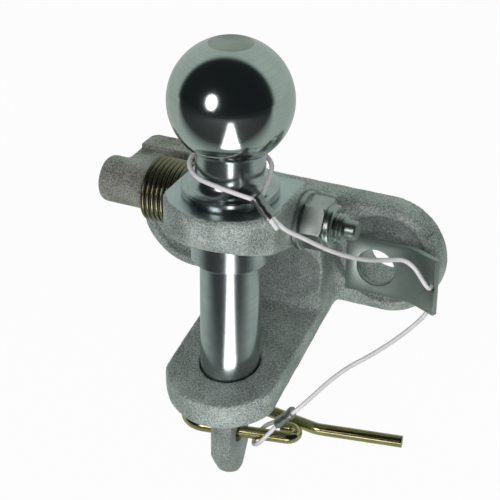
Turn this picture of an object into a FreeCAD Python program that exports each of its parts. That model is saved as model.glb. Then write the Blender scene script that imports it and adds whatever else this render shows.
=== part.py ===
"""Ball-and-pin tow hitch that bolts to a vehicle by two holes in its back plate.

The frame has its origin midway between the bolt holes on the mounting face.
X runs to the right, Y towards the vehicle and Z up. Sizes are millimetres.
"""

import math
import os
import re
from typing import Callable

import FreeCAD
import Part
import Sketcher
from FreeCAD import Placement, Rotation, Vector

# Driving sizes, one sheet cell each
SIZES: dict[str, float] = {
    # Back plate
    "hole_spacing": 90.0,
    "hole_dia": 17.0,
    "plate_radius": 26.0,
    "plate_thick": 12.0,
    "plate_step": 0.2,
    "dish_radius": 20.0,
    "dish_depth": 2.5,
    "land_radius": 13.0,
    "land_front": 17.0,
    "plate_edge_round": 3.5,
    "ear_root_round": 8.0,
    # Jaw
    "ball_setback": 68.0,
    "lug_top": 48.5,
    "lug_flat_back": 20.0,
    "lug_under_front": 13.5,
    "lug_under_fall": 0.31,
    "jaw_width": 49.2,
    "jaw_round_excess": 2.4,
    "web_front": 30.0,
    "tongue_top": 78.1,
    "tongue_rise": 0.24,
    "tongue_thick": 14.3,
    "web_foot": 31.0,
    "throat_radius": 46.0,
    "throat_edge": 33.0,
    "throat_high": 12.0,
    "throat_low": 21.0,
    "lug_edge_round": 1.2,
    "lug_rim_round": 3.0,
    "tongue_nose_round": 4.5,
    "bore_gap": 0.1,
    # Ball and pin
    "ball_dia": 50.0,
    "ball_height": 39.5,
    "ball_flat_dia": 17.8,
    "neck_dia": 28.0,
    "flange_dia": 39.2,
    "flange_rim": 4.3,
    "shank_dia": 31.8,
    "shank_length": 29.3,
    "pin_dia": 24.8,
    "pin_length": 99.0,
    "tang_thick": 9.4,
    "tang_dia": 20.0,
    "tang_side_end": 122.5,
    "tang_end": 133.0,
    "tang_nose_dia": 9.0,
    "shank_chamfer": 0.8,
    "clip_hole_depth": 114.0,
    "clip_hole_dia": 8.4,
    # Release shaft and lever
    "shaft_back": 17.0,
    "shaft_depth": 15.0,
    "shaft_dia": 12.0,
    "shaft_gap": 0.1,
    "shaft_flat": 1.0,
    "shaft_flat_half": 18.0,
    "shaft_left": 59.0,
    "thread_dia": 11.8,
    "thread_end": 43.0,
    "stub_dia": 8.0,
    "stub_end": 47.8,
    "hub_dia": 20.0,
    "hub_left": 65.2,
    "hub_gap": 0.6,
    "hub_bore_gap": 0.02,
    "hub_end_round": 2.5,
    "arm_left": 57.0,
    "arm_right": 44.5,
    "arm_top": 9.0,
    "arm_low": 0.0,
    "arm_overlap": 1.0,
    "pad_front": 15.2,
    "pad_back": 27.0,
    "pad_right": 27.2,
    "pad_top": 11.0,
    "pad_low": 2.0,
    "pad_corner_round": 4.0,
    "spring_wire": 2.0,
    "spring_mean_dia": 25.6,
    "spring_pitch": 2.1,
    "spring_turns": 8.0,
    "spring_gap": 0.06,
    # Washer and locking nut
    "washer_dia": 24.0,
    "washer_bore": 12.6,
    "washer_thick": 2.0,
    "nut_flats": 19.0,
    "nut_hex_height": 9.2,
    "nut_height": 12.4,
    "nut_collar_dia": 17.6,
    "nut_bore": 11.9,
    "nut_collar_round": 1.2,
    "nut_lip_bore": 14.0,
    "nut_lip": 0.7,
    "insert_dia": 15.6,
    "insert_bore": 11.9,
    "insert_thick": 2.3,
    # Lanyard tab
    "tab_thick": 2.5,
    "tab_left": 31.5,
    "tab_crease": 60.7,
    "tab_reach": 14.2,
    "tab_angle": 27.0,
    "tab_height": 26.0,
    "tab_hole_dia": 3.2,
    "tab_hole_reach": 11.4,
    # Lanyard
    "cable_dia": 1.9,
    "strand_gap": 0.1,
    "ferrule_wide": 6.0,
    "ferrule_thick": 4.0,
    "ferrule_length": 10.0,
    "ferrule_grip": 1.5,
    "upper_ferrule_dip": 50.0,
    "cable_lead": 5.0,
    "tab_hole_lead": 4.2,
    "neck_loop_radius": 16.2,
    "neck_loop_apex": 25.9,
    "neck_loop_turn": -41.0,
    "neck_loop_tilt": 6.8,
    "neck_loop_height": 8.5,
    "tail_length": 5.0,
    "clip_loop_radius": 5.4,
    "clip_loop_apex": 11.5,
    "clip_loop_place": 14.3,
    # Retaining clip
    "clip_wire": 5.2,
    "clip_yaw": 11.0,
    "clip_bend_radius": 10.2,
    "clip_bend_place": -11.0,
    "clip_eye_radius": 3.7,
    "clip_eye_place": 24.5,
    "clip_waist_u": 36.0,
    "clip_waist_v": 9.6,
    "clip_back_u": 6.0,
    "clip_handle_u": 73.0,
    "clip_handle_v": 9.2,
}

# Sizes that follow from others
DERIVED: dict[str, str] = {"jaw_round": "=jaw_width / 2 + jaw_round_excess"}

X_AXIS = Vector(1, 0, 0)
Y_AXIS = Vector(0, 1, 0)
Z_AXIS = Vector(0, 0, 1)

# Way that the lower run pulls the clip loop
CLIP_LOOP_PULL = Vector(0.67, 0.05, 0.74)
# Share of a full bend that leaves a short straight between two bends
BEND_SHARE = 0.999
# Share of the shorter run that a cable bend takes up
EASY_SHARE = 0.45
# How far a swept volume may be from its section times its length
SWEEP_SLACK = 0.02

doc = FreeCAD.newDocument("TowHitch")
sheet = doc.addObject("Spreadsheet::Sheet", "Sizes")
for row, (alias, content) in enumerate((SIZES | DERIVED).items(), start=1):
    sheet.set(f"A{row}", alias.replace("_", " "))
    sheet.set(f"B{row}", str(content))
    sheet.setAlias(f"B{row}", alias)
doc.recompute()


def size(alias: str) -> float:
    """Read one driving size from the sheet."""
    return float(getattr(sheet, alias))


def bound(expression: str) -> str:
    """Point every size named in an expression at its sheet cell."""
    return re.sub(r"[a-z]+_[a-z_]+", lambda word: f"Sizes.{word.group(0)}", expression)


def value(expression: str) -> float:
    """Work out an expression of sizes as a number."""
    return float(sheet.evalExpression(bound(expression)))


def bind(target, prop: str, expression: str) -> None:
    """Tie a property to an expression of sizes."""
    target.setExpression(prop, bound(expression))


def new_body(label: str):
    """Start a sub-part."""
    body = doc.addObject("PartDesign::Body", label)
    body.Label = label
    return body


def sketch_on(body, name: str, role: str, offset: str = ""):
    """Lay a sketch on an origin plane of a body, moved along its normal by an expression."""
    sketch = body.newObject("Sketcher::SketchObject", name)
    plane = next(item for item in body.Origin.OriginFeatures if item.Role == role)
    sketch.AttachmentSupport = [(plane, "")]
    sketch.MapMode = "FlatFace"
    if offset:
        bind(sketch, "AttachmentOffset.Base.z", offset)
    return sketch


def hold(sketch, axis: str, part: int, point: int, expression: str) -> None:
    """Dimension one coordinate of a sketch point by an expression."""
    number = value(expression)
    index = sketch.addConstraint(Sketcher.Constraint(axis, -1, 1, part, point, number))
    bind(sketch, f"Constraints[{index}]", expression)


def circle(sketch, across: str, up: str, radius: str) -> None:
    """Draw a circle whose centre and radius are expressions."""
    middle = Vector(value(across), value(up), 0)
    index = sketch.addGeometry(Part.Circle(middle, Z_AXIS, value(radius)))
    hold(sketch, "DistanceX", index, 3, across)
    hold(sketch, "DistanceY", index, 3, up)
    number = sketch.addConstraint(Sketcher.Constraint("Radius", index, value(radius)))
    bind(sketch, f"Constraints[{number}]", radius)


def outline(sketch, steps: list[tuple]) -> None:
    """Draw a closed outline.

    A step of two expressions is the next corner of a straight side. A step of six is an
    arc: centre across, centre up, end across, end up, turn ("left" or "right") and the
    end coordinate that is held ("x" or "y").
    """
    ends = [step if len(step) == 2 else (step[2], step[3]) for step in steps]
    count = len(steps)
    first = []
    last = []
    for index, step in enumerate(steps):
        before = ends[index - 1]
        start = Vector(value(before[0]), value(before[1]), 0)
        stop = Vector(value(ends[index][0]), value(ends[index][1]), 0)
        if len(step) == 2:
            part = sketch.addGeometry(Part.LineSegment(start, stop))
            first.append((part, 1))
            last.append((part, 2))
            continue
        middle = Vector(value(step[0]), value(step[1]), 0)
        leftward = step[4] == "left"
        low, high = (start, stop) if leftward else (stop, start)
        low_angle = math.atan2(low.y - middle.y, low.x - middle.x)
        high_angle = math.atan2(high.y - middle.y, high.x - middle.x)
        round_shape = Part.Circle(middle, Z_AXIS, (start - middle).Length)
        part = sketch.addGeometry(Part.ArcOfCircle(round_shape, low_angle, high_angle))
        hold(sketch, "DistanceX", part, 3, step[0])
        hold(sketch, "DistanceY", part, 3, step[1])
        first.append((part, 1 if leftward else 2))
        last.append((part, 2 if leftward else 1))
    for index, step in enumerate(steps):
        following = first[(index + 1) % count]
        sketch.addConstraint(Sketcher.Constraint("Coincident", *last[index], *following))
        held = "xy" if len(step) == 2 else step[5]
        if "x" in held:
            hold(sketch, "DistanceX", *last[index], ends[index][0])
        if "y" in held:
            hold(sketch, "DistanceY", *last[index], ends[index][1])


def finish(feature, must_add: bool, before: float):
    """Recompute a feature and check which way it changed the volume."""
    doc.recompute()
    after = feature.Shape.Volume
    if feature.Shape.isNull() or not feature.Shape.isValid():
        raise RuntimeError(f"{feature.Name} has no sound shape")
    if (after > before) != must_add:
        raise RuntimeError(f"{feature.Name} went the wrong way: {before:.1f} to {after:.1f}")
    return feature


def volume_of(body) -> float:
    """Volume of a body so far."""
    return 0.0 if body.Tip is None or body.Shape.isNull() else body.Shape.Volume


def pad(body, sketch, length: str, symmetric: bool = False, reverse: bool = False):
    """Add material from a sketch."""
    before = volume_of(body)
    feature = body.newObject("PartDesign::Pad", sketch.Name + "Pad")
    feature.Profile = sketch
    feature.SideType = "Symmetric" if symmetric else "One side"
    feature.Reversed = reverse
    bind(feature, "Length", length)
    return finish(feature, True, before)


def pocket(body, sketch, length: str = "", symmetric: bool = False, reverse: bool = False):
    """Take material out of a body by a sketch, right through it when no length is given."""
    before = volume_of(body)
    feature = body.newObject("PartDesign::Pocket", sketch.Name + "Pocket")
    feature.Profile = sketch
    feature.SideType = "Symmetric" if symmetric else "One side"
    feature.Reversed = reverse
    feature.Type = "Length" if length else "ThroughAll"
    if length:
        bind(feature, "Length", length)
    return finish(feature, False, before)


def turned(body, kind: str, sketch, axis: str):
    """Revolve a sketch round one of its own axes, adding or cutting."""
    before = volume_of(body)
    feature = body.newObject(f"PartDesign::{kind}", sketch.Name + kind)
    feature.Profile = sketch
    feature.ReferenceAxis = (sketch, [axis])
    feature.Angle = 360.0
    return finish(feature, kind == "Revolution", before)


def fillet(body, name: str, radius: str, wanted: Callable):
    """Round the edges of a body that a test picks."""
    base = body.Tip
    names = [f"Edge{index}" for index, edge in enumerate(base.Shape.Edges, start=1) if wanted(edge)]
    if not names:
        raise RuntimeError(f"{name} found no edge to round")
    feature = body.newObject("PartDesign::Fillet", name)
    feature.Base = (base, names)
    bind(feature, "Radius", radius)
    doc.recompute()
    if feature.Shape.isNull() or not feature.Shape.isValid():
        raise RuntimeError(f"{name} could not be rounded")
    return feature


def near(number: float, target: float, slack: float = 0.05) -> bool:
    """Tell whether two lengths agree."""
    return abs(number - target) < slack


def rounded_wire(points: list[Vector], radii: list[float] | None = None) -> Part.Wire:
    """Join points by straight runs and tangent arcs.

    Args:
        points: corners of the route in order
        radii: bend radius at each inner point, or None for the widest easy bend
    Returns:
        the wire
    """
    edges = []
    here = points[0]
    for index in range(1, len(points) - 1):
        corner = points[index]
        back = points[index - 1] - corner
        ahead = points[index + 1] - corner
        shorter = min(back.Length, ahead.Length)
        back.normalize()
        ahead.normalize()
        half_turn = (math.pi - back.getAngle(ahead)) / 2
        radius = radii[index - 1] if radii else EASY_SHARE * shorter / math.tan(half_turn)
        reach = radius * math.tan(half_turn)
        enter = corner + back * reach
        leave = corner + ahead * reach
        inward = back + ahead
        inward.normalize()
        middle = corner + inward * (radius / math.cos(half_turn) - radius)
        edges.append(Part.LineSegment(here, enter).toShape())
        edges.append(Part.Arc(enter, middle, leave).toShape())
        here = leave
    edges.append(Part.LineSegment(here, points[-1]).toShape())
    return Part.Wire(edges)


def tube(label: str, path: Part.Wire, diameter: float):
    """Sweep a round section along a wire and check the volume against its length."""
    start = path.Edges[0].valueAt(path.Edges[0].FirstParameter)
    heading = path.Edges[0].tangentAt(path.Edges[0].FirstParameter)
    section = Part.Wire([Part.makeCircle(diameter / 2, start, heading)])
    solid = path.makePipeShell([section], True, True)
    expected = math.pi * diameter**2 / 4 * path.Length
    if not near(solid.Volume / expected, 1.0, SWEEP_SLACK):
        raise RuntimeError(f"{label} came out at {solid.Volume:.1f} instead of {expected:.1f}")
    item = doc.addObject("Part::Feature", label)
    item.Label = label
    item.Shape = solid
    print(f"{label}: length {path.Length:.1f} mm")
    return item


def place(item, position: tuple[str, str, str]) -> None:
    """Put a sub-part at a position given as expressions."""
    for axis, expression in zip("xyz", position):
        bind(item, f"Placement.Base.{axis}", expression)


def jaw_outline(sketch) -> None:
    """Draw the side view of lug, web and tongue, seen with Y to the right."""
    front = "-ball_setback - jaw_round"
    under = "lug_top - lug_under_front"
    under_back = f"{under} - lug_under_fall * (ball_setback + jaw_round - web_front)"
    tongue = "lug_top - tongue_top"
    tongue_front = f"{tongue} - tongue_rise * jaw_round"
    tongue_back = f"{tongue} + tongue_rise * (ball_setback - web_front)"
    outline(
        sketch,
        [
            (front, "lug_top"),
            (front, under),
            ("-web_front", under_back),
            ("-web_front", tongue_back),
            (front, tongue_front),
            (front, f"{tongue_front} - tongue_thick"),
            ("-plate_thick - ear_root_round", "-web_foot"),
            ("0", "-plate_radius - plate_step"),
            ("0", "plate_radius - plate_step"),
            ("-plate_thick", "plate_radius - plate_step"),
            ("-ball_setback + lug_flat_back", "lug_top"),
        ],
    )


def build_jaw():
    """Forge the jaw: back plate with two ears, upper lug, web and lower tongue."""
    body = new_body("jaw_body")
    plate_front = -size("plate_thick")
    top = size("lug_top")

    plate = sketch_on(body, "PlateOutline", "XZ_Plane")
    right = "hole_spacing / 2"
    left = "-hole_spacing / 2"
    outline(
        plate,
        [
            (right, "-plate_radius"),
            (right, "0", right, "plate_radius", "left", "x"),
            (left, "plate_radius"),
            (left, "0", left, "-plate_radius", "left", "x"),
        ],
    )
    pad(body, plate, "plate_thick")
    fillet(body, "PlateRim", "plate_edge_round", lambda edge: near(edge.BoundBox.YMax, plate_front))

    side = sketch_on(body, "JawSide", "YZ_Plane")
    jaw_outline(side)
    pad(body, side, "jaw_width", symmetric=True)

    # Round fronts of lug and tongue, seen from above
    nose = sketch_on(body, "JawNose", "XY_Plane")
    outline(
        nose,
        [
            ("-jaw_round", "-ball_setback"),
            ("0", "-ball_setback", "jaw_round", "-ball_setback", "left", "y"),
            ("2 * jaw_round", "-ball_setback"),
            ("2 * jaw_round", "-ball_setback - 2 * jaw_round"),
            ("-2 * jaw_round", "-ball_setback - 2 * jaw_round"),
            ("-2 * jaw_round", "-ball_setback"),
        ],
    )
    pocket(body, nose, symmetric=True)

    # Rims of the lug and the tongue
    slim = size("lug_edge_round")

    def is_rim(edge) -> bool:
        box = edge.BoundBox
        return box.YMax < plate_front and box.YLength > slim

    fillet(
        body,
        "LugTopEdge",
        "lug_edge_round",
        lambda edge: is_rim(edge) and edge.BoundBox.ZMin > top - slim,
    )
    fillet(
        body,
        "LugLowerEdge",
        "lug_rim_round",
        lambda edge: is_rim(edge) and 0 < edge.BoundBox.ZMin and edge.BoundBox.ZMax < top - 2 * slim,
    )

    def under_tongue(edge) -> bool:
        box = edge.BoundBox
        drop = size("tongue_thick")
        middle = top - size("tongue_top") + size("tongue_rise") * (box.Center.y + size("ball_setback"))
        return box.ZMax < 0 and box.Center.z < middle - drop / 2

    fillet(
        body,
        "TongueNose",
        "tongue_nose_round",
        lambda edge: under_tongue(edge) and is_rim(edge),
    )

    # Hollow throat behind the pin
    throat = sketch_on(body, "Throat", "YZ_Plane")
    bind(throat, "AttachmentOffset.Base.x", "-ball_setback")
    sag = "(throat_radius - throat_edge)"
    chord = "((throat_high + throat_low) / 2)"
    middle_across = f"throat_radius - ({chord}^2 + {sag}^2) / (2 * {sag})"
    outline(
        throat,
        [
            ("0", "-throat_low"),
            ("throat_edge", "-throat_low"),
            (middle_across, "(throat_high - throat_low) / 2", "throat_edge", "throat_high", "left", "y"),
            ("0", "throat_high"),
        ],
    )
    turned(body, "Groove", throat, "V_Axis")

    # Concave corners where the ears leave the web
    for name, sign, turn in (("Right", "", "left"), ("Left", "-", "right")):
        corner = sketch_on(body, f"EarRoot{name}", "XY_Plane")
        inner = f"{sign}(jaw_width / 2 - ear_root_round)"
        edge_x = f"{sign}jaw_width / 2"
        outer = f"{sign}(jaw_width / 2 + ear_root_round)"
        behind = "-plate_thick + plate_edge_round"
        before = "-plate_thick - ear_root_round"
        outline(
            corner,
            [
                (inner, before),
                (inner, behind),
                (outer, behind),
                (outer, "-plate_thick"),
                (outer, before, edge_x, before, turn, "y"),
            ],
        )
        pad(body, corner, "2 * plate_radius - 2 * plate_edge_round", symmetric=True)

    # Dished ears with a raised land round each bolt hole
    dish = sketch_on(body, "EarDishes", "XZ_Plane", "plate_thick + 2 * ear_root_round")
    for across in (left, right):
        circle(dish, across, "0", "dish_radius")
    pocket(body, dish, "dish_depth + 2 * ear_root_round")
    land = sketch_on(body, "EarLands", "XZ_Plane", "plate_thick - dish_depth")
    for across in (left, right):
        circle(land, across, "0", "land_radius")
    pad(body, land, "land_front - plate_thick + dish_depth")

    # Bores
    bolts = sketch_on(body, "BoltHoles", "XZ_Plane")
    for across in (left, right):
        circle(bolts, across, "0", "hole_dia / 2")
    pocket(body, bolts, symmetric=True)
    shank = sketch_on(body, "ShankBore", "XY_Plane", "lug_top")
    circle(shank, "0", "-ball_setback", "shank_dia / 2 + bore_gap")
    pocket(body, shank, "shank_length + 2 * bore_gap")
    pin = sketch_on(body, "PinBore", "XY_Plane", "lug_top - shank_length")
    circle(pin, "0", "-ball_setback", "pin_dia / 2 + bore_gap")
    pocket(body, pin, "pin_length")
    cross = sketch_on(body, "ShaftBore", "YZ_Plane")
    circle(cross, "-ball_setback + shaft_back", "lug_top - shaft_depth", "shaft_dia / 2 + shaft_gap")
    pocket(body, cross, symmetric=True)
    return body


def build_ball_pin():
    """Turn the ball, neck, flange, shank and pin, with a flat tang that takes the clip."""
    body = new_body("ball_pin")
    place(body, ("0", "-ball_setback", "lug_top"))
    ball = "(ball_dia / 2)"
    flat_top = f"ball_height + sqrt({ball}^2 - (ball_flat_dia / 2)^2)"
    ball_foot = f"ball_height - sqrt({ball}^2 - (neck_dia / 2)^2)"
    round_up = "flange_rim + flange_dia / 2 - neck_dia / 2"
    profile = sketch_on(body, "PinProfile", "XZ_Plane")
    outline(
        profile,
        [
            ("0", "-tang_end"),
            ("tang_nose_dia / 2", "-tang_end"),
            ("tang_dia / 2", "-tang_side_end"),
            ("tang_dia / 2", "-pin_length - pin_dia / 2 + tang_dia / 2"),
            ("pin_dia / 2", "-pin_length"),
            ("pin_dia / 2", "-shank_length - shank_chamfer"),
            ("shank_dia / 2 - shank_chamfer", "-shank_length"),
            ("shank_dia / 2", "-shank_length + shank_chamfer"),
            ("shank_dia / 2", "0"),
            ("flange_dia / 2", "0"),
            ("flange_dia / 2", "flange_rim"),
            ("flange_dia / 2", round_up, "neck_dia / 2", round_up, "right", "y"),
            ("neck_dia / 2", ball_foot),
            ("0", "ball_height", "ball_flat_dia / 2", flat_top, "left", "y"),
            ("0", flat_top),
        ],
    )
    turned(body, "Revolution", profile, "V_Axis")

    # Flats either side of the tang
    for name, sign in (("Right", ""), ("Left", "-")):
        flat = sketch_on(body, f"TangFlat{name}", "XZ_Plane")
        outline(
            flat,
            [
                (f"{sign}tang_thick / 2", "-pin_length"),
                (f"{sign}pin_dia", "-pin_length"),
                (f"{sign}pin_dia", "-tang_end - pin_dia"),
                (f"{sign}tang_thick / 2", "-tang_end - pin_dia"),
            ],
        )
        pocket(body, flat, symmetric=True)
    hole = sketch_on(body, "ClipHole", "YZ_Plane")
    circle(hole, "0", "-clip_hole_depth", "clip_hole_dia / 2")
    pocket(body, hole, symmetric=True)

    # Cross groove that the release shaft turns in
    groove = sketch_on(body, "ShaftGroove", "YZ_Plane")
    circle(groove, "shaft_back", "-shaft_depth", "shaft_dia / 2 + 2 * shaft_gap")
    pocket(body, groove, symmetric=True)
    return body


SHAFT_PLACE = ("0", "-ball_setback + shaft_back", "lug_top - shaft_depth")


def build_shaft():
    """Turn the release shaft: plain, cut to a half moon across the shank, threaded end, stub."""
    body = new_body("lock_shaft")
    place(body, SHAFT_PLACE)
    plain = sketch_on(body, "ShaftPlain", "YZ_Plane", "-shaft_left")
    circle(plain, "0", "0", "shaft_dia / 2")
    pad(body, plain, "shaft_left + jaw_width / 2")
    thread = sketch_on(body, "ShaftThread", "YZ_Plane", "jaw_width / 2")
    circle(thread, "0", "0", "thread_dia / 2")
    pad(body, thread, "thread_end - jaw_width / 2")
    stub = sketch_on(body, "ShaftStub", "YZ_Plane", "thread_end")
    circle(stub, "0", "0", "stub_dia / 2")
    pad(body, stub, "stub_end - thread_end")
    moon = sketch_on(body, "ShaftFlat", "YZ_Plane")
    outline(
        moon,
        [
            ("-shaft_dia", "shaft_flat"),
            ("shaft_dia", "shaft_flat"),
            ("shaft_dia", "shaft_dia"),
            ("-shaft_dia", "shaft_dia"),
        ],
    )
    pocket(body, moon, "2 * shaft_flat_half", symmetric=True)
    return body


def box_pad(body, name: str, left: str, right: str, corners: tuple[str, str, str, str]) -> None:
    """Add a block between two places along X; corners are Y and Z of both opposite corners."""
    sketch = sketch_on(body, name, "YZ_Plane", left)
    near_y, low, far_y, high = corners
    outline(sketch, [(near_y, low), (far_y, low), (far_y, high), (near_y, high)])
    pad(body, sketch, f"({right}) - ({left})")


def build_lever():
    """Cast the release lever: hub that carries the spring, short arm and raised thumb pad."""
    body = new_body("release_lever")
    place(body, SHAFT_PLACE)
    hub = sketch_on(body, "LeverHub", "YZ_Plane", "-hub_left")
    circle(hub, "0", "0", "hub_dia / 2")
    pad(body, hub, "hub_left - jaw_width / 2 - hub_gap")
    left_end = -size("hub_left")
    fillet(body, "HubEnd", "hub_end_round", lambda edge: near(edge.BoundBox.XMax, left_end))
    box_pad(body, "LeverArm", "-arm_left", "-arm_right", ("0", "arm_low", "pad_front + arm_overlap", "arm_top"))
    box_pad(body, "LeverPad", "-arm_left", "-pad_right", ("pad_front", "pad_low", "pad_back", "pad_top"))
    corner_x = -size("arm_left")
    corner_y = size("pad_back")
    fillet(
        body,
        "PadCorner",
        "pad_corner_round",
        lambda edge: near(edge.CenterOfMass.x, corner_x)
        and near(edge.CenterOfMass.y, corner_y)
        and near(edge.BoundBox.YLength, 0.0)
        and near(edge.BoundBox.XLength, 0.0),
    )
    bore = sketch_on(body, "LeverBore", "YZ_Plane", "-shaft_left")
    circle(bore, "0", "0", "shaft_dia / 2 + hub_bore_gap")
    pocket(body, bore, "2 * hub_left", reverse=True)
    return body


def build_spring():
    """Coil the return spring between lug and lever arm."""
    item = doc.addObject("Part::Feature", "lever_spring")
    item.Label = "lever_spring"
    wire = size("spring_wire")
    mean = size("spring_mean_dia") / 2
    height = size("spring_pitch") * size("spring_turns")
    coil = Part.makeHelix(size("spring_pitch"), height, mean)
    section = Part.Wire([Part.makeCircle(wire / 2, Vector(mean, 0, 0), Y_AXIS)])
    item.Shape = Part.Wire(coil.Edges).makePipeShell([section], True, True)
    start = -size("jaw_width") / 2 - wire / 2 - size("spring_gap") - height
    middle = Vector(start, value(SHAFT_PLACE[1]), value(SHAFT_PLACE[2]))
    item.Placement = Placement(middle, Rotation(Z_AXIS, X_AXIS))
    return item


def build_washer():
    """Stamp the washer under the locking nut."""
    body = new_body("shaft_washer")
    place(body, SHAFT_PLACE)
    ring = sketch_on(body, "WasherRing", "YZ_Plane", "jaw_width / 2")
    circle(ring, "0", "0", "washer_dia / 2")
    circle(ring, "0", "0", "washer_bore / 2")
    pad(body, ring, "washer_thick")
    return body


NUT_START = "jaw_width / 2 + washer_thick"


def build_nut():
    """Form the locking nut: hexagon, round collar rolled over an insert, bore."""
    body = new_body("lock_nut")
    place(body, SHAFT_PLACE)
    hexagon = sketch_on(body, "NutHexagon", "YZ_Plane", NUT_START)
    corner = "nut_flats / sqrt(3)"
    flat = "nut_flats / 2"
    outline(
        hexagon,
        [
            (f"{corner} / 2", flat),
            (f"-{corner} / 2", flat),
            (f"-{corner}", "0"),
            (f"-{corner} / 2", f"-{flat}"),
            (f"{corner} / 2", f"-{flat}"),
            (corner, "0"),
        ],
    )
    pad(body, hexagon, "nut_hex_height")
    collar = sketch_on(body, "NutCollar", "YZ_Plane", NUT_START)
    circle(collar, "0", "0", "nut_collar_dia / 2")
    pad(body, collar, "nut_height")
    end = value(NUT_START) + size("nut_height")
    fillet(body, "CollarRound", "nut_collar_round", lambda edge: near(edge.BoundBox.XMin, end))
    bore = sketch_on(body, "NutBore", "YZ_Plane")
    circle(bore, "0", "0", "nut_bore / 2")
    pocket(body, bore, symmetric=True)
    seat = sketch_on(body, "InsertSeat", "YZ_Plane", f"{NUT_START} + nut_height - nut_lip")
    circle(seat, "0", "0", "insert_dia / 2")
    pocket(body, seat, "insert_thick")
    mouth = sketch_on(body, "NutMouth", "YZ_Plane", f"{NUT_START} + nut_height")
    circle(mouth, "0", "0", "nut_lip_bore / 2")
    pocket(body, mouth, "nut_lip")
    return body


def build_insert():
    """Mould the ring inside the nut's collar."""
    body = new_body("nut_insert")
    place(body, SHAFT_PLACE)
    ring = sketch_on(body, "InsertRing", "YZ_Plane", f"{NUT_START} + nut_height - nut_lip")
    circle(ring, "0", "0", "insert_dia / 2")
    circle(ring, "0", "0", "insert_bore / 2")
    pad(body, ring, "insert_thick", reverse=True)
    return body


def tab_point(along: str, out: str) -> tuple[str, str]:
    """Place on the bent end of the tab, by reach past the crease and depth behind its face."""
    across = f"tab_crease + ({along}) * cos(tab_angle) + ({out}) * sin(tab_angle)"
    ahead = f"-land_front - tab_thick - ({along}) * sin(tab_angle) + ({out}) * cos(tab_angle)"
    return across, ahead


def build_tab():
    """Press the lanyard tab: flat over the right bolt hole, its end bent forward."""
    body = new_body("lanyard_tab")
    front = "-land_front - tab_thick"
    sheet_metal = sketch_on(body, "TabBend", "XY_Plane")
    outline(
        sheet_metal,
        [
            ("tab_left", front),
            ("tab_crease", front),
            tab_point("tab_reach", "0"),
            tab_point("tab_reach", "tab_thick"),
            ("tab_crease + tab_thick * tan(tab_angle / 2)", "-land_front"),
            ("tab_left", "-land_front"),
        ],
    )
    pad(body, sheet_metal, "tab_height", symmetric=True)
    bolt = sketch_on(body, "TabBoltHole", "XZ_Plane")
    circle(bolt, "hole_spacing / 2", "0", "hole_dia / 2")
    pocket(body, bolt, symmetric=True)
    eye = sketch_on(body, "TabCableHole", "XZ_Plane")
    circle(eye, tab_point("tab_hole_reach", "tab_thick / 2")[0], "0", "tab_hole_dia / 2")
    pocket(body, eye, symmetric=True)
    return body


def clip_frame() -> Placement:
    """Frame of the clip: origin in the tang hole, first axis along the leg through it."""
    middle = Vector(0, -size("ball_setback"), size("lug_top") - size("clip_hole_depth"))
    return Placement(middle, Rotation(Z_AXIS, size("clip_yaw")))


def build_clip():
    """Bend the retaining clip from one wire: handle, waist, back leg, leg through the tang, eye."""
    bend = size("clip_bend_radius")
    eye = size("clip_eye_radius")
    back = 2 * bend
    turn = size("clip_bend_place")
    far = turn - bend
    eye_end = size("clip_eye_place") + eye
    points = [
        Vector(size("clip_handle_u"), size("clip_handle_v"), 0),
        Vector(size("clip_waist_u"), size("clip_waist_v"), 0),
        Vector(size("clip_back_u"), back, 0),
        Vector(far, back, 0),
        Vector(far, 0, 0),
        Vector(eye_end, 0, 0),
        Vector(eye_end, 2 * eye, 0),
        Vector(eye_end - 2 * eye, 2 * eye, 0),
    ]
    easy = 2 * size("clip_wire")
    tight = [bend * BEND_SHARE] * 2 + [eye * BEND_SHARE] * 2
    radii = [easy, easy] + tight
    path = rounded_wire(points, radii)
    item = tube("retaining_clip", path, size("clip_wire"))
    item.Placement = clip_frame()
    return item


def strand_offset() -> float:
    """Distance of either strand from the middle of a ferrule."""
    return (size("cable_dia") + size("strand_gap")) / 2


def teardrop(label: str, radius: float, apex: float, frame: Placement):
    """Loop of cable round the frame's origin whose strands meet on its first axis."""
    offset = strand_offset()
    reach = math.hypot(apex, offset)
    angle = math.atan2(offset, apex) + math.acos(radius / reach)
    upper = Vector(radius * math.cos(angle), radius * math.sin(angle), 0)
    lower = Vector(upper.x, -upper.y, 0)
    edges = [
        Part.LineSegment(Vector(apex, offset, 0), upper).toShape(),
        Part.Arc(upper, Vector(-radius, 0, 0), lower).toShape(),
        Part.LineSegment(lower, Vector(apex, -offset, 0)).toShape(),
    ]
    item = tube(label, Part.Wire(edges), size("cable_dia"))
    item.Placement = frame
    return item


def build_ferrule(label: str, frame: Placement):
    """Crimp sleeve that runs along the frame's first axis from its origin."""
    body = new_body(label)
    section = sketch_on(body, label.title().replace("_", "") + "Section", "YZ_Plane")
    side = "ferrule_wide / 2 - ferrule_thick / 2"
    outline(
        section,
        [
            (side, "-ferrule_thick / 2"),
            (side, "0", side, "ferrule_thick / 2", "left", "x"),
            (f"-({side})", "ferrule_thick / 2"),
            (f"-({side})", "0", f"-({side})", "-ferrule_thick / 2", "left", "x"),
        ],
    )
    pad(body, section, "ferrule_length")
    body.Placement = frame
    return body


def along(frame: Placement, distance: float, side: float = 0.0) -> Vector:
    """Place on a frame's first axis, or beside it."""
    return frame.multVec(Vector(distance, side, 0))


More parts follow.
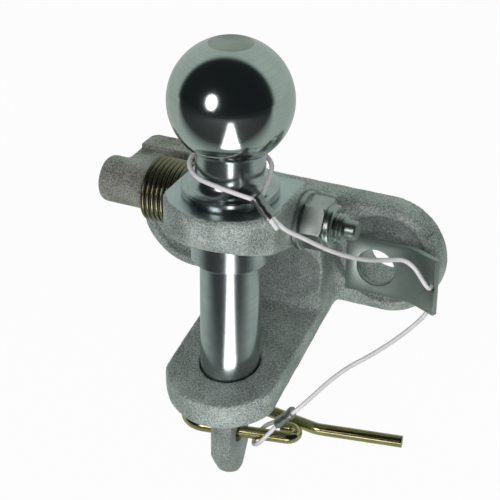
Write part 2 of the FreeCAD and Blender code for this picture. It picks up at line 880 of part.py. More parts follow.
def build_lanyard() -> list:
    """Route the lanyard: loop round the neck, run to the tab, run to the clip, loop round the clip."""
    offset = strand_offset()
    sleeve = size("ferrule_length")
    turn = Rotation(Z_AXIS, size("neck_loop_turn"))
    tilt = Rotation(Y_AXIS, size("neck_loop_tilt"))
    apex = size("neck_loop_apex")
    rise = apex * math.tan(math.radians(size("neck_loop_tilt")))
    middle = Vector(0, -size("ball_setback"), size("lug_top") + size("neck_loop_height") + rise)
    neck = Placement(middle, turn.multiply(tilt))
    items = [teardrop("cable_neck_loop", size("neck_loop_radius"), apex, neck)]
    hang = Rotation(Y_AXIS, size("upper_ferrule_dip"))
    grip = size("ferrule_grip")
    upper = Placement(along(neck, apex) - hang.multVec(X_AXIS) * grip, hang)
    items.append(build_ferrule("upper_ferrule", upper))

    # Short cut end beside the run
    tail = [along(upper, sleeve - grip, -offset), along(upper, sleeve + size("tail_length"), -offset)]
    items.append(tube("cable_tail", Part.Wire([Part.LineSegment(*tail).toShape()]), size("cable_dia")))

    clip = clip_frame()
    ring = clip.multVec(Vector(size("clip_loop_place"), 0, 0))
    leg = clip.Rotation.multVec(X_AXIS)
    pull = Vector(CLIP_LOOP_PULL)
    pull.normalize()
    around = leg - pull * leg.dot(pull)
    around.normalize()
    lower_turn = Rotation(pull, around.cross(pull), around, "XZY")
    loop = Placement(ring, lower_turn)
    items.append(teardrop("cable_clip_loop", size("clip_loop_radius"), size("clip_loop_apex"), loop))
    lower = Placement(along(loop, size("clip_loop_apex") - grip), lower_turn)
    items.append(build_ferrule("lower_ferrule", lower))

    # Runs between the ferrules and the hole in the tab
    hole_x, hole_y = (value(number) for number in tab_point("tab_hole_reach", "tab_thick / 2"))
    hole = Vector(hole_x, hole_y, 0)
    start = along(upper, sleeve - grip, offset)
    end = along(lower, sleeve - grip, offset)
    lead = sleeve + size("cable_lead")
    reach = Y_AXIS * size("tab_hole_lead")
    upper_run = [start, along(upper, lead, offset), *route(start, hole, UPPER_ROUTE), hole - reach, hole]
    lower_run = [hole, hole + reach, *route(hole, end, LOWER_ROUTE), along(lower, lead, offset), end]
    for label, points in (("cable_upper_run", upper_run), ("cable_lower_run", lower_run)):
        items.append(tube(label, rounded_wire(points), size("cable_dia")))
    return items


# Places along each run: share of the way, then X, Y and Z aside from the straight line
UPPER_ROUTE: list[tuple[float, float, float, float]] = [
    (0.20, -0.1, -2.5, -2.5),
    (0.40, -1.4, -2.3, -2.9),
    (0.61, -3.9, 0.2, -1.5),
    (0.80, -8.2, 2.9, 2.2),
    (0.90, -4.8, 4.2, 6.0),
]
LOWER_ROUTE: list[tuple[float, float, float, float]] = [
    (0.12, 4.4, 10.2, -7.6),
    (0.30, 7.2, 11.8, -5.3),
    (0.52, 5.3, 9.7, -3.6),
    (0.74, 2.9, 7.6, 1.6),
]


def route(start: Vector, end: Vector, places: list[tuple[float, float, float, float]]) -> list[Vector]:
    """Turn shares of the way between two ends into points of a run."""
    return [start + (end - start) * share + Vector(x, y, z) for share, x, y, z in places]


def write(items: list) -> None:
    """Check every sub-part and write it to its own file."""
    doc.recompute()
    for item in doc.Objects:
        if "Invalid" in item.State or "Error" in item.State:
            raise RuntimeError(f"{item.Name} did not compute")
    os.makedirs("parts", exist_ok=True)
    for item in items:
        if item.Shape.isNull() or not item.Shape.isValid() or len(item.Shape.Solids) != 1:
            raise RuntimeError(f"{item.Label} is not one sound solid")
        item.Shape.exportStep(f"parts/{item.Label}.step")
        box = item.Shape.optimalBoundingBox(True)
        print(f"{item.Label}: {item.Shape.Volume:.0f} mm3, {box.XLength:.1f} x {box.YLength:.1f} x {box.ZLength:.1f}")


builders = (
    build_jaw,
    build_ball_pin,
    build_shaft,
    build_lever,
    build_spring,
    build_washer,
    build_nut,
    build_insert,
    build_tab,
    build_clip,
)
write([builder() for builder in builders] + build_lanyard())
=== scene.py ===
"""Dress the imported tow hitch: forged jaw, turned ball and pin, release lever, clip and lanyard."""

import logging
import math
from collections.abc import Callable
from dataclasses import dataclass
from enum import Enum

import bmesh
import bpy
from mathutils import Matrix, Vector


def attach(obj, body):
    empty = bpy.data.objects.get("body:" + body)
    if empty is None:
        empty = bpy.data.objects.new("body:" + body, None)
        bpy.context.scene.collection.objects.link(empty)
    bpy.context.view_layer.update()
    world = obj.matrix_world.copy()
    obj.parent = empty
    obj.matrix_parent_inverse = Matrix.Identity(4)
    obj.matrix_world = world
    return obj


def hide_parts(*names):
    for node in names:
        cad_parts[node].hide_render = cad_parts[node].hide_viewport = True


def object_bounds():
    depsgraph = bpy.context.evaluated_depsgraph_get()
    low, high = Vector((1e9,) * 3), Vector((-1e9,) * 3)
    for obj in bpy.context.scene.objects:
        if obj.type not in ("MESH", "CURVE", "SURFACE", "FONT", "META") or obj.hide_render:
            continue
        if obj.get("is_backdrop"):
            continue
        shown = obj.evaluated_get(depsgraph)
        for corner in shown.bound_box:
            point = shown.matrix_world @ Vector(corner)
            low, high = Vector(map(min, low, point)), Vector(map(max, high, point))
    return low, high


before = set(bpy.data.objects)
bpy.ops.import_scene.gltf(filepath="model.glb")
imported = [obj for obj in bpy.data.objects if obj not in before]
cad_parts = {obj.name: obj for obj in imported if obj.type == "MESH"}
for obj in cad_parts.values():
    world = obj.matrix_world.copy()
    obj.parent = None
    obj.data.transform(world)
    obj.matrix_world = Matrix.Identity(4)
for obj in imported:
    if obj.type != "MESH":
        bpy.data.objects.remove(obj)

LOG = logging.getLogger("tow_hitch")
MM = 0.001
WHITE = (1.0, 1.0, 1.0, 1.0)

# Widest radius in millimetres that still counts as a point on the axis
ON_AXIS = 1e-6

# Corners closer than this many millimetres are one corner
SAME_SPOT = 0.002

Colour = tuple[float, float, float]
Place = tuple[float, float, float]
Corner = tuple[float, float]
Ring = list[bmesh.types.BMVert]
Thing = bpy.types.Object
Mesh = bpy.types.Mesh
Socket = bpy.types.NodeSocket
Tree = bpy.types.NodeTree


class Body(str, Enum):
    """Rigid bodies of the hitch."""

    HITCH = "hitch"
    LEVER = "lever"
    CLIP = "clip"


class Tone(Enum):
    """Which shared effect roughens a finish."""

    FORGED = "Forged skin"
    TURNED = "Turned rings"
    DRAWN = "Drawn wire"


def mm(*numbers: float) -> Vector:
    """Return a place given in millimetres as a vector in metres."""
    return Vector(numbers) * MM


def add(tree: Tree, kind: str, values: dict[str | int, object] | None = None) -> bpy.types.Node:
    """Add a node and set the inputs that are given by name or number."""
    node = tree.nodes.new(kind)
    for key, value in (values or {}).items():
        node.inputs[key].default_value = value
    return node


def link(tree: Tree, *pairs: tuple[Socket, Socket]) -> None:
    """Join each source socket to its target."""
    for source, target in pairs:
        tree.links.new(source, target)


def maths(tree: Tree, kind: str, *terms: Socket | float) -> Socket:
    """Return the result of one operation on two sockets or numbers."""
    node = tree.nodes.new("ShaderNodeMath")
    node.operation = kind
    for socket, term in zip(node.inputs, terms):
        if isinstance(term, float):
            socket.default_value = term
        else:
            tree.links.new(term, socket)
    return node.outputs[0]


class EffectGroups:
    """Shader node groups that the finishes share, each built once."""

    # Scale of each slower pattern, as a share of the grain's own
    FORGED_DRIFT = 0.06
    FORGED_PITS = 0.55
    TURNED_SMEAR = 0.05
    DRAWN_DRIFT = 0.12

    # How much each pattern counts beside the grain
    DRIFT_WEIGHT = 0.7
    PIT_WEIGHT = 0.25
    FAINT_WEIGHT = 0.3

    # Where a pit begins and ends, and how long a lathe ring is beside its width
    PIT_FLOOR = 0.05
    PIT_RIM = 0.35
    RING_STRETCH = (0.03, 0.03, 1.0)

    # Middle of a noise, and what brings the forged mask back to it
    MIDDLE = 0.5
    FORGED_SHIFT = 0.35

    def __init__(self) -> None:
        """Build every group."""
        self.groups: dict[Tone, Tree] = {
            Tone.FORGED: self.forged(),
            Tone.TURNED: self.turned(),
            Tone.DRAWN: self.drawn(),
        }

    @staticmethod
    def start(name: str) -> tuple[Tree, Socket, Socket, bpy.types.Node]:
        """Open a group with the sockets that every effect has.

        Args:
            name: name of the group
        Returns:
            the tree, its grain size, its contrast and its output node
        """
        tree = bpy.data.node_groups.new(name, "ShaderNodeTree")
        for label in ("Grain size", "Contrast"):
            tree.interface.new_socket(label, in_out="INPUT", socket_type="NodeSocketFloat")
        for label in ("Mask", "Height"):
            tree.interface.new_socket(label, in_out="OUTPUT", socket_type="NodeSocketFloat")
        given = tree.nodes.new("NodeGroupInput")
        return tree, given.outputs["Grain size"], given.outputs["Contrast"], tree.nodes.new("NodeGroupOutput")

    @staticmethod
    def noise(tree: Tree, scale: Socket, detail: float, rough: float) -> Socket:
        """Return a noise that reads the piece's own coordinates."""
        place = add(tree, "ShaderNodeTexCoord")
        texture = add(tree, "ShaderNodeTexNoise", {"Detail": detail, "Roughness": rough})
        link(tree, (place.outputs["Object"], texture.inputs["Vector"]), (scale, texture.inputs["Scale"]))
        return texture.outputs["Fac"]

    def forged(self) -> Tree:
        """Scale-pitted skin of a forging: fine bright grain, broad drift and scattered pits."""
        tree, grain_size, contrast, result = self.start(Tone.FORGED.value)
        fine = self.noise(tree, grain_size, 3.0, 0.6)
        broad = self.noise(tree, maths(tree, "MULTIPLY", grain_size, self.FORGED_DRIFT), 2.0, 0.5)
        place = add(tree, "ShaderNodeTexCoord")
        pits = add(tree, "ShaderNodeTexVoronoi")
        hollow = add(tree, "ShaderNodeMapRange", {"From Min": self.PIT_FLOOR, "From Max": self.PIT_RIM})
        link(
            tree,
            (place.outputs["Object"], pits.inputs["Vector"]),
            (maths(tree, "MULTIPLY", grain_size, self.FORGED_PITS), pits.inputs["Scale"]),
            (pits.outputs["Distance"], hollow.inputs["Value"]),
        )
        swing = maths(tree, "MULTIPLY", maths(tree, "SUBTRACT", fine, self.MIDDLE), contrast)
        grain = maths(tree, "ADD", swing, self.MIDDLE)
        mixed = maths(tree, "ADD", grain, maths(tree, "MULTIPLY", broad, self.DRIFT_WEIGHT))
        pitted = maths(tree, "MULTIPLY", hollow.outputs["Result"], self.PIT_WEIGHT)
        link(
            tree,
            (maths(tree, "SUBTRACT", mixed, self.FORGED_SHIFT), result.inputs["Mask"]),
            (maths(tree, "ADD", mixed, pitted), result.inputs["Height"]),
        )
        return tree

    def turned(self) -> Tree:
        """Fine rings that a lathe tool leaves round the upright axis, with soft smears."""
        tree, grain_size, contrast, result = self.start(Tone.TURNED.value)
        place = add(tree, "ShaderNodeTexCoord")
        squeeze = add(tree, "ShaderNodeMapping", {"Scale": self.RING_STRETCH})
        rings = add(tree, "ShaderNodeTexNoise", {"Detail": 4.0})
        smear = self.noise(tree, maths(tree, "MULTIPLY", grain_size, self.TURNED_SMEAR), 3.0, 0.55)
        line = maths(tree, "MULTIPLY", rings.outputs["Fac"], contrast)
        link(
            tree,
            (place.outputs["Object"], squeeze.inputs["Vector"]),
            (squeeze.outputs["Vector"], rings.inputs["Vector"]),
            (grain_size, rings.inputs["Scale"]),
            (maths(tree, "MULTIPLY", line, smear), result.inputs["Mask"]),
            (line, result.inputs["Height"]),
        )
        return tree

    def drawn(self) -> Tree:
        """Soft drift of a plated wire or sheet, with a faint grain."""
        tree, grain_size, contrast, result = self.start(Tone.DRAWN.value)
        broad = self.noise(tree, maths(tree, "MULTIPLY", grain_size, self.DRAWN_DRIFT), 2.0, 0.5)
        fine = self.noise(tree, grain_size, 4.0, 0.6)
        faint = maths(tree, "MULTIPLY", fine, self.FAINT_WEIGHT)
        both = maths(tree, "ADD", maths(tree, "MULTIPLY", broad, contrast), faint)
        link(tree, (both, result.inputs["Mask"]), (both, result.inputs["Height"]))
        return tree


@dataclass(frozen=True)
class Finish:
    """One surface: two colours that a mask mixes, a band of roughness and a relief.

    The grain counts waves per metre, the relief is a share and its depth is in millimetres.
    """

    name: str
    dark: Colour
    light: Colour
    rough: tuple[float, float]
    tone: Tone
    grain: float
    contrast: float
    relief: float
    metallic: float = 1.0
    coat: float = 0.0
    depth: float = 0.3
    mask_dark: float = 0.15
    mask_light: float = 0.85

    def build(self, effects: EffectGroups) -> bpy.types.Material:
        """Make the material.

        Args:
            effects: the shared node groups
        Returns:
            the finished material
        """
        material = bpy.data.materials.new(self.name)
        material.use_nodes = True
        tree = material.node_tree
        shader = tree.nodes["Principled BSDF"]
        shader.inputs["Metallic"].default_value = self.metallic
        shader.inputs["Coat Weight"].default_value = self.coat
        effect = tree.nodes.new("ShaderNodeGroup")
        effect.node_tree = effects.groups[self.tone]
        effect.inputs["Grain size"].default_value = self.grain
        effect.inputs["Contrast"].default_value = self.contrast
        ramp = add(tree, "ShaderNodeValToRGB")
        stops = ((self.mask_dark, self.dark), (self.mask_light, self.light))
        for element, (position, colour) in zip(ramp.color_ramp.elements, stops):
            element.position = position
            element.color = (*colour, 1.0)
        smooth, dull = self.rough
        band = add(tree, "ShaderNodeMapRange", {"To Min": dull, "To Max": smooth})
        bump = add(tree, "ShaderNodeBump", {"Strength": self.relief, "Distance": self.depth * MM})
        link(
            tree,
            (effect.outputs["Mask"], ramp.inputs["Fac"]),
            (ramp.outputs["Color"], shader.inputs["Base Color"]),
            (effect.outputs["Mask"], band.inputs["Value"]),
            (band.outputs["Result"], shader.inputs["Roughness"]),
            (effect.outputs["Height"], bump.inputs["Height"]),
            (bump.outputs["Normal"], shader.inputs["Normal"]),
        )
        return material


FORGED_ZINC = Finish(
    "forged_zinc", dark=(0.20, 0.235, 0.22), light=(0.80, 0.86, 0.83), rough=(0.26, 0.52),
    tone=Tone.FORGED, grain=1400.0, contrast=1.6, relief=0.9, metallic=0.80, depth=0.55,
)
MACHINED_ZINC = Finish(
    "machined_zinc", dark=(0.42, 0.49, 0.50), light=(0.60, 0.67, 0.67), rough=(0.24, 0.38),
    tone=Tone.DRAWN, grain=500.0, contrast=0.8, relief=0.05,
)
POLISHED_ZINC = Finish(
    "polished_zinc", dark=(0.50, 0.56, 0.54), light=(0.72, 0.77, 0.75), rough=(0.05, 0.16),
    tone=Tone.TURNED, grain=1500.0, contrast=0.9, relief=0.012,
)
TURNED_ZINC = Finish(
    "turned_zinc", dark=(0.45, 0.50, 0.50), light=(0.74, 0.79, 0.78), rough=(0.10, 0.24),
    tone=Tone.TURNED, grain=2600.0, contrast=0.9, relief=0.02,
)
FACED_ZINC = Finish(
    "faced_zinc", dark=(0.24, 0.28, 0.26), light=(0.46, 0.51, 0.47), rough=(0.34, 0.50),
    tone=Tone.DRAWN, grain=700.0, contrast=0.9, relief=0.10,
)
TANG_ZINC = Finish(
    "tang_zinc", dark=(0.22, 0.25, 0.24), light=(0.72, 0.76, 0.74), rough=(0.24, 0.48),
    tone=Tone.FORGED, grain=1500.0, contrast=1.6, relief=0.9, metallic=0.80, depth=0.55,
)
CAST_LEVER = Finish(
    "cast_lever", dark=(0.15, 0.15, 0.125), light=(0.66, 0.66, 0.60), rough=(0.24, 0.48),
    tone=Tone.FORGED, grain=1500.0, contrast=1.6, relief=0.9, metallic=0.80, depth=0.45,
)
SPRING_OLIVE = Finish(
    "spring_olive", dark=(0.09, 0.085, 0.055), light=(0.30, 0.28, 0.19), rough=(0.20, 0.36),
    tone=Tone.DRAWN, grain=700.0, contrast=0.8, relief=0.08,
)
BRIGHT_ZINC = Finish(
    "bright_zinc", dark=(0.26, 0.30, 0.28), light=(0.52, 0.57, 0.54), rough=(0.26, 0.42),
    tone=Tone.DRAWN, grain=900.0, contrast=0.9, relief=0.06,
)
SHEET_ZINC = Finish(
    "sheet_zinc", dark=(0.26, 0.31, 0.29), light=(0.45, 0.51, 0.48), rough=(0.30, 0.46),
    tone=Tone.DRAWN, grain=450.0, contrast=0.8, relief=0.08,
)
YELLOW_ZINC = Finish(
    "yellow_zinc", dark=(0.26, 0.19, 0.06), light=(0.56, 0.53, 0.27), rough=(0.12, 0.26),
    tone=Tone.DRAWN, grain=420.0, contrast=1.0, relief=0.03,
)
CABLE_COAT = Finish(
    "cable_coat", dark=(0.44, 0.43, 0.44), light=(0.56, 0.55, 0.56), rough=(0.30, 0.45),
    tone=Tone.DRAWN, grain=900.0, contrast=0.8, relief=0.06, metallic=0.0, coat=0.3,
)
FERRULE_GREY = Finish(
    "ferrule_grey", dark=(0.20, 0.21, 0.20), light=(0.50, 0.51, 0.50), rough=(0.28, 0.48),
    tone=Tone.DRAWN, grain=900.0, contrast=0.9, relief=0.15,
)
NYLON = Finish(
    "nylon", dark=(0.34, 0.40, 0.40), light=(0.46, 0.52, 0.52), rough=(0.40, 0.55),
    tone=Tone.DRAWN, grain=800.0, contrast=0.8, relief=0.05, metallic=0.0,
)


def show(name: str, data: bpy.types.ID) -> Thing:
    """Put a mesh, curve, lamp or camera in the scene."""
    thing = bpy.data.objects.new(name, data)
    bpy.context.collection.objects.link(thing)
    return thing


class Shop:
    """Workshop that turns meshes into finished pieces on a body."""

    def __init__(self) -> None:
        """Prepare the shared effects and an empty rack of materials."""
        self.effects = EffectGroups()
        self.rack: dict[str, bpy.types.Material] = {}

    def material(self, finish: Finish) -> bpy.types.Material:
        """Return the material of a finish, made at its first use."""
        if finish.name not in self.rack:
            self.rack[finish.name] = finish.build(self.effects)
        return self.rack[finish.name]

    @staticmethod
    def hold(piece: Thing, body: Body, nodes: tuple[str, ...], slot: str) -> Thing:
        """Put a piece on its body in place of the solids that it stands for.

        Args:
            piece: the finished object
            body: the body that carries it
            nodes: the solids that it replaces
            slot: not used
        Returns:
            the same object
        """
        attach(piece, body.value)
        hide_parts(*nodes)
        LOG.info("%s rides on %s", piece.name, body.value)
        return piece

    def piece(
        self, name: str, mesh: Mesh, finishes: list[Finish], body: Body, node: str, slot: str,
        crease: float,
    ) -> Thing:
        """Make a mesh a smooth-shaded piece in its finishes.

        Args:
            name: name of the piece
            mesh: its mesh, in place
            finishes: one finish for each material index
            body: the body that carries it
            node: the solid that it replaces
            slot: handed to hold, which does not use it
            crease: edges sharper than this many degrees stay sharp
        Returns:
            the object
        """
        chosen = [min(face.material_index, len(finishes) - 1) for face in mesh.polygons]
        mesh.materials.clear()
        for finish in finishes:
            mesh.materials.append(self.material(finish))
        mesh.polygons.foreach_set("material_index", chosen)
        mesh.polygons.foreach_set("use_smooth", [True] * len(mesh.polygons))
        mesh.set_sharp_from_angle(angle=math.radians(crease))
        return self.hold(show(name, mesh), body, (node,), slot)


def settle(thing: Thing) -> Mesh:
    """Turn an object with its modifiers into a plain mesh and drop the object."""
    bpy.context.view_layer.update()
    seen = thing.evaluated_get(bpy.context.evaluated_depsgraph_get())
    mesh = bpy.data.meshes.new_from_object(seen)
    bpy.data.objects.remove(thing)
    return mesh


def finished(work: bmesh.types.BMesh, name: str) -> Mesh:
    """Turn the faces of a working mesh outwards and make it a mesh of that name."""
    bmesh.ops.recalc_face_normals(work, faces=work.faces)
    mesh = bpy.data.meshes.new(name)
    work.to_mesh(mesh)
    work.free()
    return mesh


def joined(mesh: Mesh) -> bmesh.types.BMesh:
    """Open a mesh for work, with corners that lie on each other made one."""
    work = bmesh.new()
    work.from_mesh(mesh)
    bmesh.ops.remove_doubles(work, verts=work.verts, dist=SAME_SPOT * MM)
    return work


def solid_copy(node: str) -> Mesh:
    """Copy a solid's mesh and join its loose triangles."""
    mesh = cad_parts[node].data.copy()
    work = joined(mesh)
    work.to_mesh(mesh)
    work.free()
    return mesh


def softened(node: str, grid: float, passes: int, dent: float) -> Mesh:
    """Give a solid the soft edges and uneven skin of a forging or casting.

    Args:
        node: the solid
        grid: size of the grid that its skin is rebuilt on, in millimetres
        passes: how often its edges are eased
        dent: deepest unevenness, in millimetres
    Returns:
        the new mesh
    """
    dent_width = 7.0
    ease_share = 0.5
    thing = show(node + "_work", solid_copy(node))
    skin = thing.modifiers.new("Skin", "REMESH")
    skin.mode = "VOXEL"
    skin.voxel_size = grid * MM
    ease = thing.modifiers.new("Ease", "SMOOTH")
    ease.factor = ease_share
    ease.iterations = passes
    clouds = bpy.data.textures.new(node + "_dents", "CLOUDS")
    clouds.noise_scale = dent_width * MM
    uneven = thing.modifiers.new("Uneven", "DISPLACE")
    uneven.texture = clouds
    uneven.texture_coords = "LOCAL"
    uneven.strength = dent * MM
    uneven.mid_level = 1.0
    return settle(thing)


def stitch(work: bmesh.types.BMesh, pairs: list[tuple[Ring, Ring]]) -> None:
    """Close the skin between neighbouring rings, of which one may be a single point."""
    for low, high in pairs:
        steps = max(len(low), len(high))
        for step in range(steps):
            after = (step + 1) % steps
            corners = [low[step % len(low)], low[after % len(low)]]
            corners += [high[after % len(high)], high[step % len(high)]]
            corners = list(dict.fromkeys(corners))
            if len(corners) > 2:
                work.faces.new(corners)


def spun_mesh(
    name: str, corners: list[Callable[[float], Corner]], place: Matrix, steps: int
) -> Mesh:
    """Spin an outline whose corners may change with the angle.

    Args:
        name: name of the mesh
        corners: what gives each corner's radius and height in millimetres at an angle
        place: where the spindle's origin and axis go
        steps: facets round the axis
    Returns:
        the mesh, closed along the axis or as a ring
    """
    work = bmesh.new()
    rows: list[Ring] = []
    for corner in corners:
        row = []
        for step in range(1 if corner(0.0)[0] < ON_AXIS else steps):
            angle = 2 * math.pi * step / steps
            radius, height = corner(angle)
            row.append(work.verts.new(place @ mm(radius * math.cos(angle), radius * math.sin(angle), height)))
        rows.append(row)
    pairs = list(zip(rows, rows[1:]))
    if len(rows[0]) > 1:
        pairs.append((rows[-1], rows[0]))
    stitch(work, pairs)
    return finished(work, name)


def steady(profile: list[Corner]) -> list[Callable[[float], Corner]]:
    """Corners that stay the same at every angle."""
    return [lambda angle, corner=corner: corner for corner in profile]


def turned_mesh(name: str, profile: list[Corner], place: Matrix, steps: int = 96) -> Mesh:
    """Spin a plain outline of radius and height in millimetres."""
    return spun_mesh(name, steady(profile), place, steps)


def arc(middle: Corner, radius: float, first: float, last: float, steps: int) -> list[Corner]:
    """Points of an arc in a profile, from one angle to another in degrees."""
    sweep = (math.radians(first + (last - first) * step / steps) for step in range(steps + 1))
    return [(middle[0] + radius * math.cos(a), middle[1] + radius * math.sin(a)) for a in sweep]


def block(name: str, size: Vector, middle: Vector) -> Thing:
    """Put a block in the scene, with its sizes and its middle in metres."""
    work = bmesh.new()
    bmesh.ops.create_cube(work, size=1.0)
    place = Matrix.Translation(middle) @ Matrix.Diagonal((*size, 1.0))
    bmesh.ops.transform(work, matrix=place, verts=work.verts)
    return show(name, finished(work, name))


def cut_away(thing: Thing, cutters: list[Thing]) -> Mesh:
    """Cut bars and blocks out of a piece, drop them all and return what is left of it."""
    for cutter in cutters:
        cut = thing.modifiers.new(cutter.name, "BOOLEAN")
        cut.operation = "DIFFERENCE"
        cut.solver = "EXACT"
        cut.object = cutter
    mesh = settle(thing)
    for cutter in cutters:
        bpy.data.objects.remove(cutter)
    return mesh


def round_line(name: str, kind: str, points: list[Vector], radius: float) -> bpy.types.Curve:
    """Make a curve with one round-section spline along points in metres.

    Args:
        name: name of the curve
        kind: kind of its spline
        points: its points or control points
        radius: radius of its section, in metres
    Returns:
        the curve, with flat ends
    """
    line = bpy.data.curves.new(name, "CURVE")
    line.dimensions = "3D"
    line.bevel_depth = radius
    line.use_fill_caps = True
    spline = line.splines.new(kind)
    spline.points.add(len(points) - 1)
    for target, point in zip(spline.points, points):
        target.co = (*point, 1.0)
    return line


def wire_mesh(name: str, points: list[Vector], radius: float) -> Mesh:
    """Sweep a round wire with flat ends along points in metres."""
    line = round_line(name, "POLY", points, radius)
    line.bevel_resolution = 6
    swept = settle(show(name, line))
    bpy.data.curves.remove(line)
    return finished(joined(swept), name)


@dataclass
class Jaw:
    """Forged jaw with its machined faces, and the lanyard tab on its right ear."""

    shop: Shop
    lug_top: float = 48.5
    land_front: float = 17.0
    grid: float = 0.75
    ease: int = 14
    dent: float = 0.45
    flat: float = 0.97
    near_flat: float = 0.85
    slack: float = 1.1
    tab_ease: float = 0.35
    tab_sharp: float = 40.0

    def forging(self) -> Thing:
        """Make the jaw, with a smoother finish where a tool has faced it."""
        mesh = softened("jaw_body", self.grid, self.ease, self.dent)
        near_top = (self.lug_top - self.slack) * MM
        slack = self.slack * MM
        normals = [spot.normal.copy() for spot in mesh.vertices]
        for spot, normal in zip(mesh.vertices, normals):
            if normal.z > self.near_flat and spot.co.z > near_top:
                spot.co.z = self.lug_top * MM
            if normal.y > self.near_flat and spot.co.y > -slack:
                spot.co.y = 0.0
        mesh.update()
        for face in mesh.polygons:
            off_land = abs(face.center.y + self.land_front * MM)
            faced_top = face.normal.z > self.flat and face.center.z > near_top
            faced_back = face.normal.y > self.flat and face.center.y > -slack
            faced_land = face.normal.y < -self.flat and off_land < slack
            face.material_index = 1 if faced_top or faced_back or faced_land else 0
        finishes = [FORGED_ZINC, MACHINED_ZINC]
        return self.shop.piece("jaw_forging", mesh, finishes, Body.HITCH, "jaw_body", "forging", 180.0)

    def tab(self) -> Thing:
        """Make the pressed tab, with eased edges."""
        thing = show("tab_work", solid_copy("lanyard_tab"))
        bevel = thing.modifiers.new("Eased", "BEVEL")
        bevel.width = self.tab_ease * MM
        bevel.segments = 3
        bevel.limit_method = "ANGLE"
        bevel.angle_limit = math.radians(self.tab_sharp)
        return self.shop.piece(
            "lanyard_tab_sheet", settle(thing), [SHEET_ZINC], Body.HITCH, "lanyard_tab", "tab_sheet", 25.0
        )


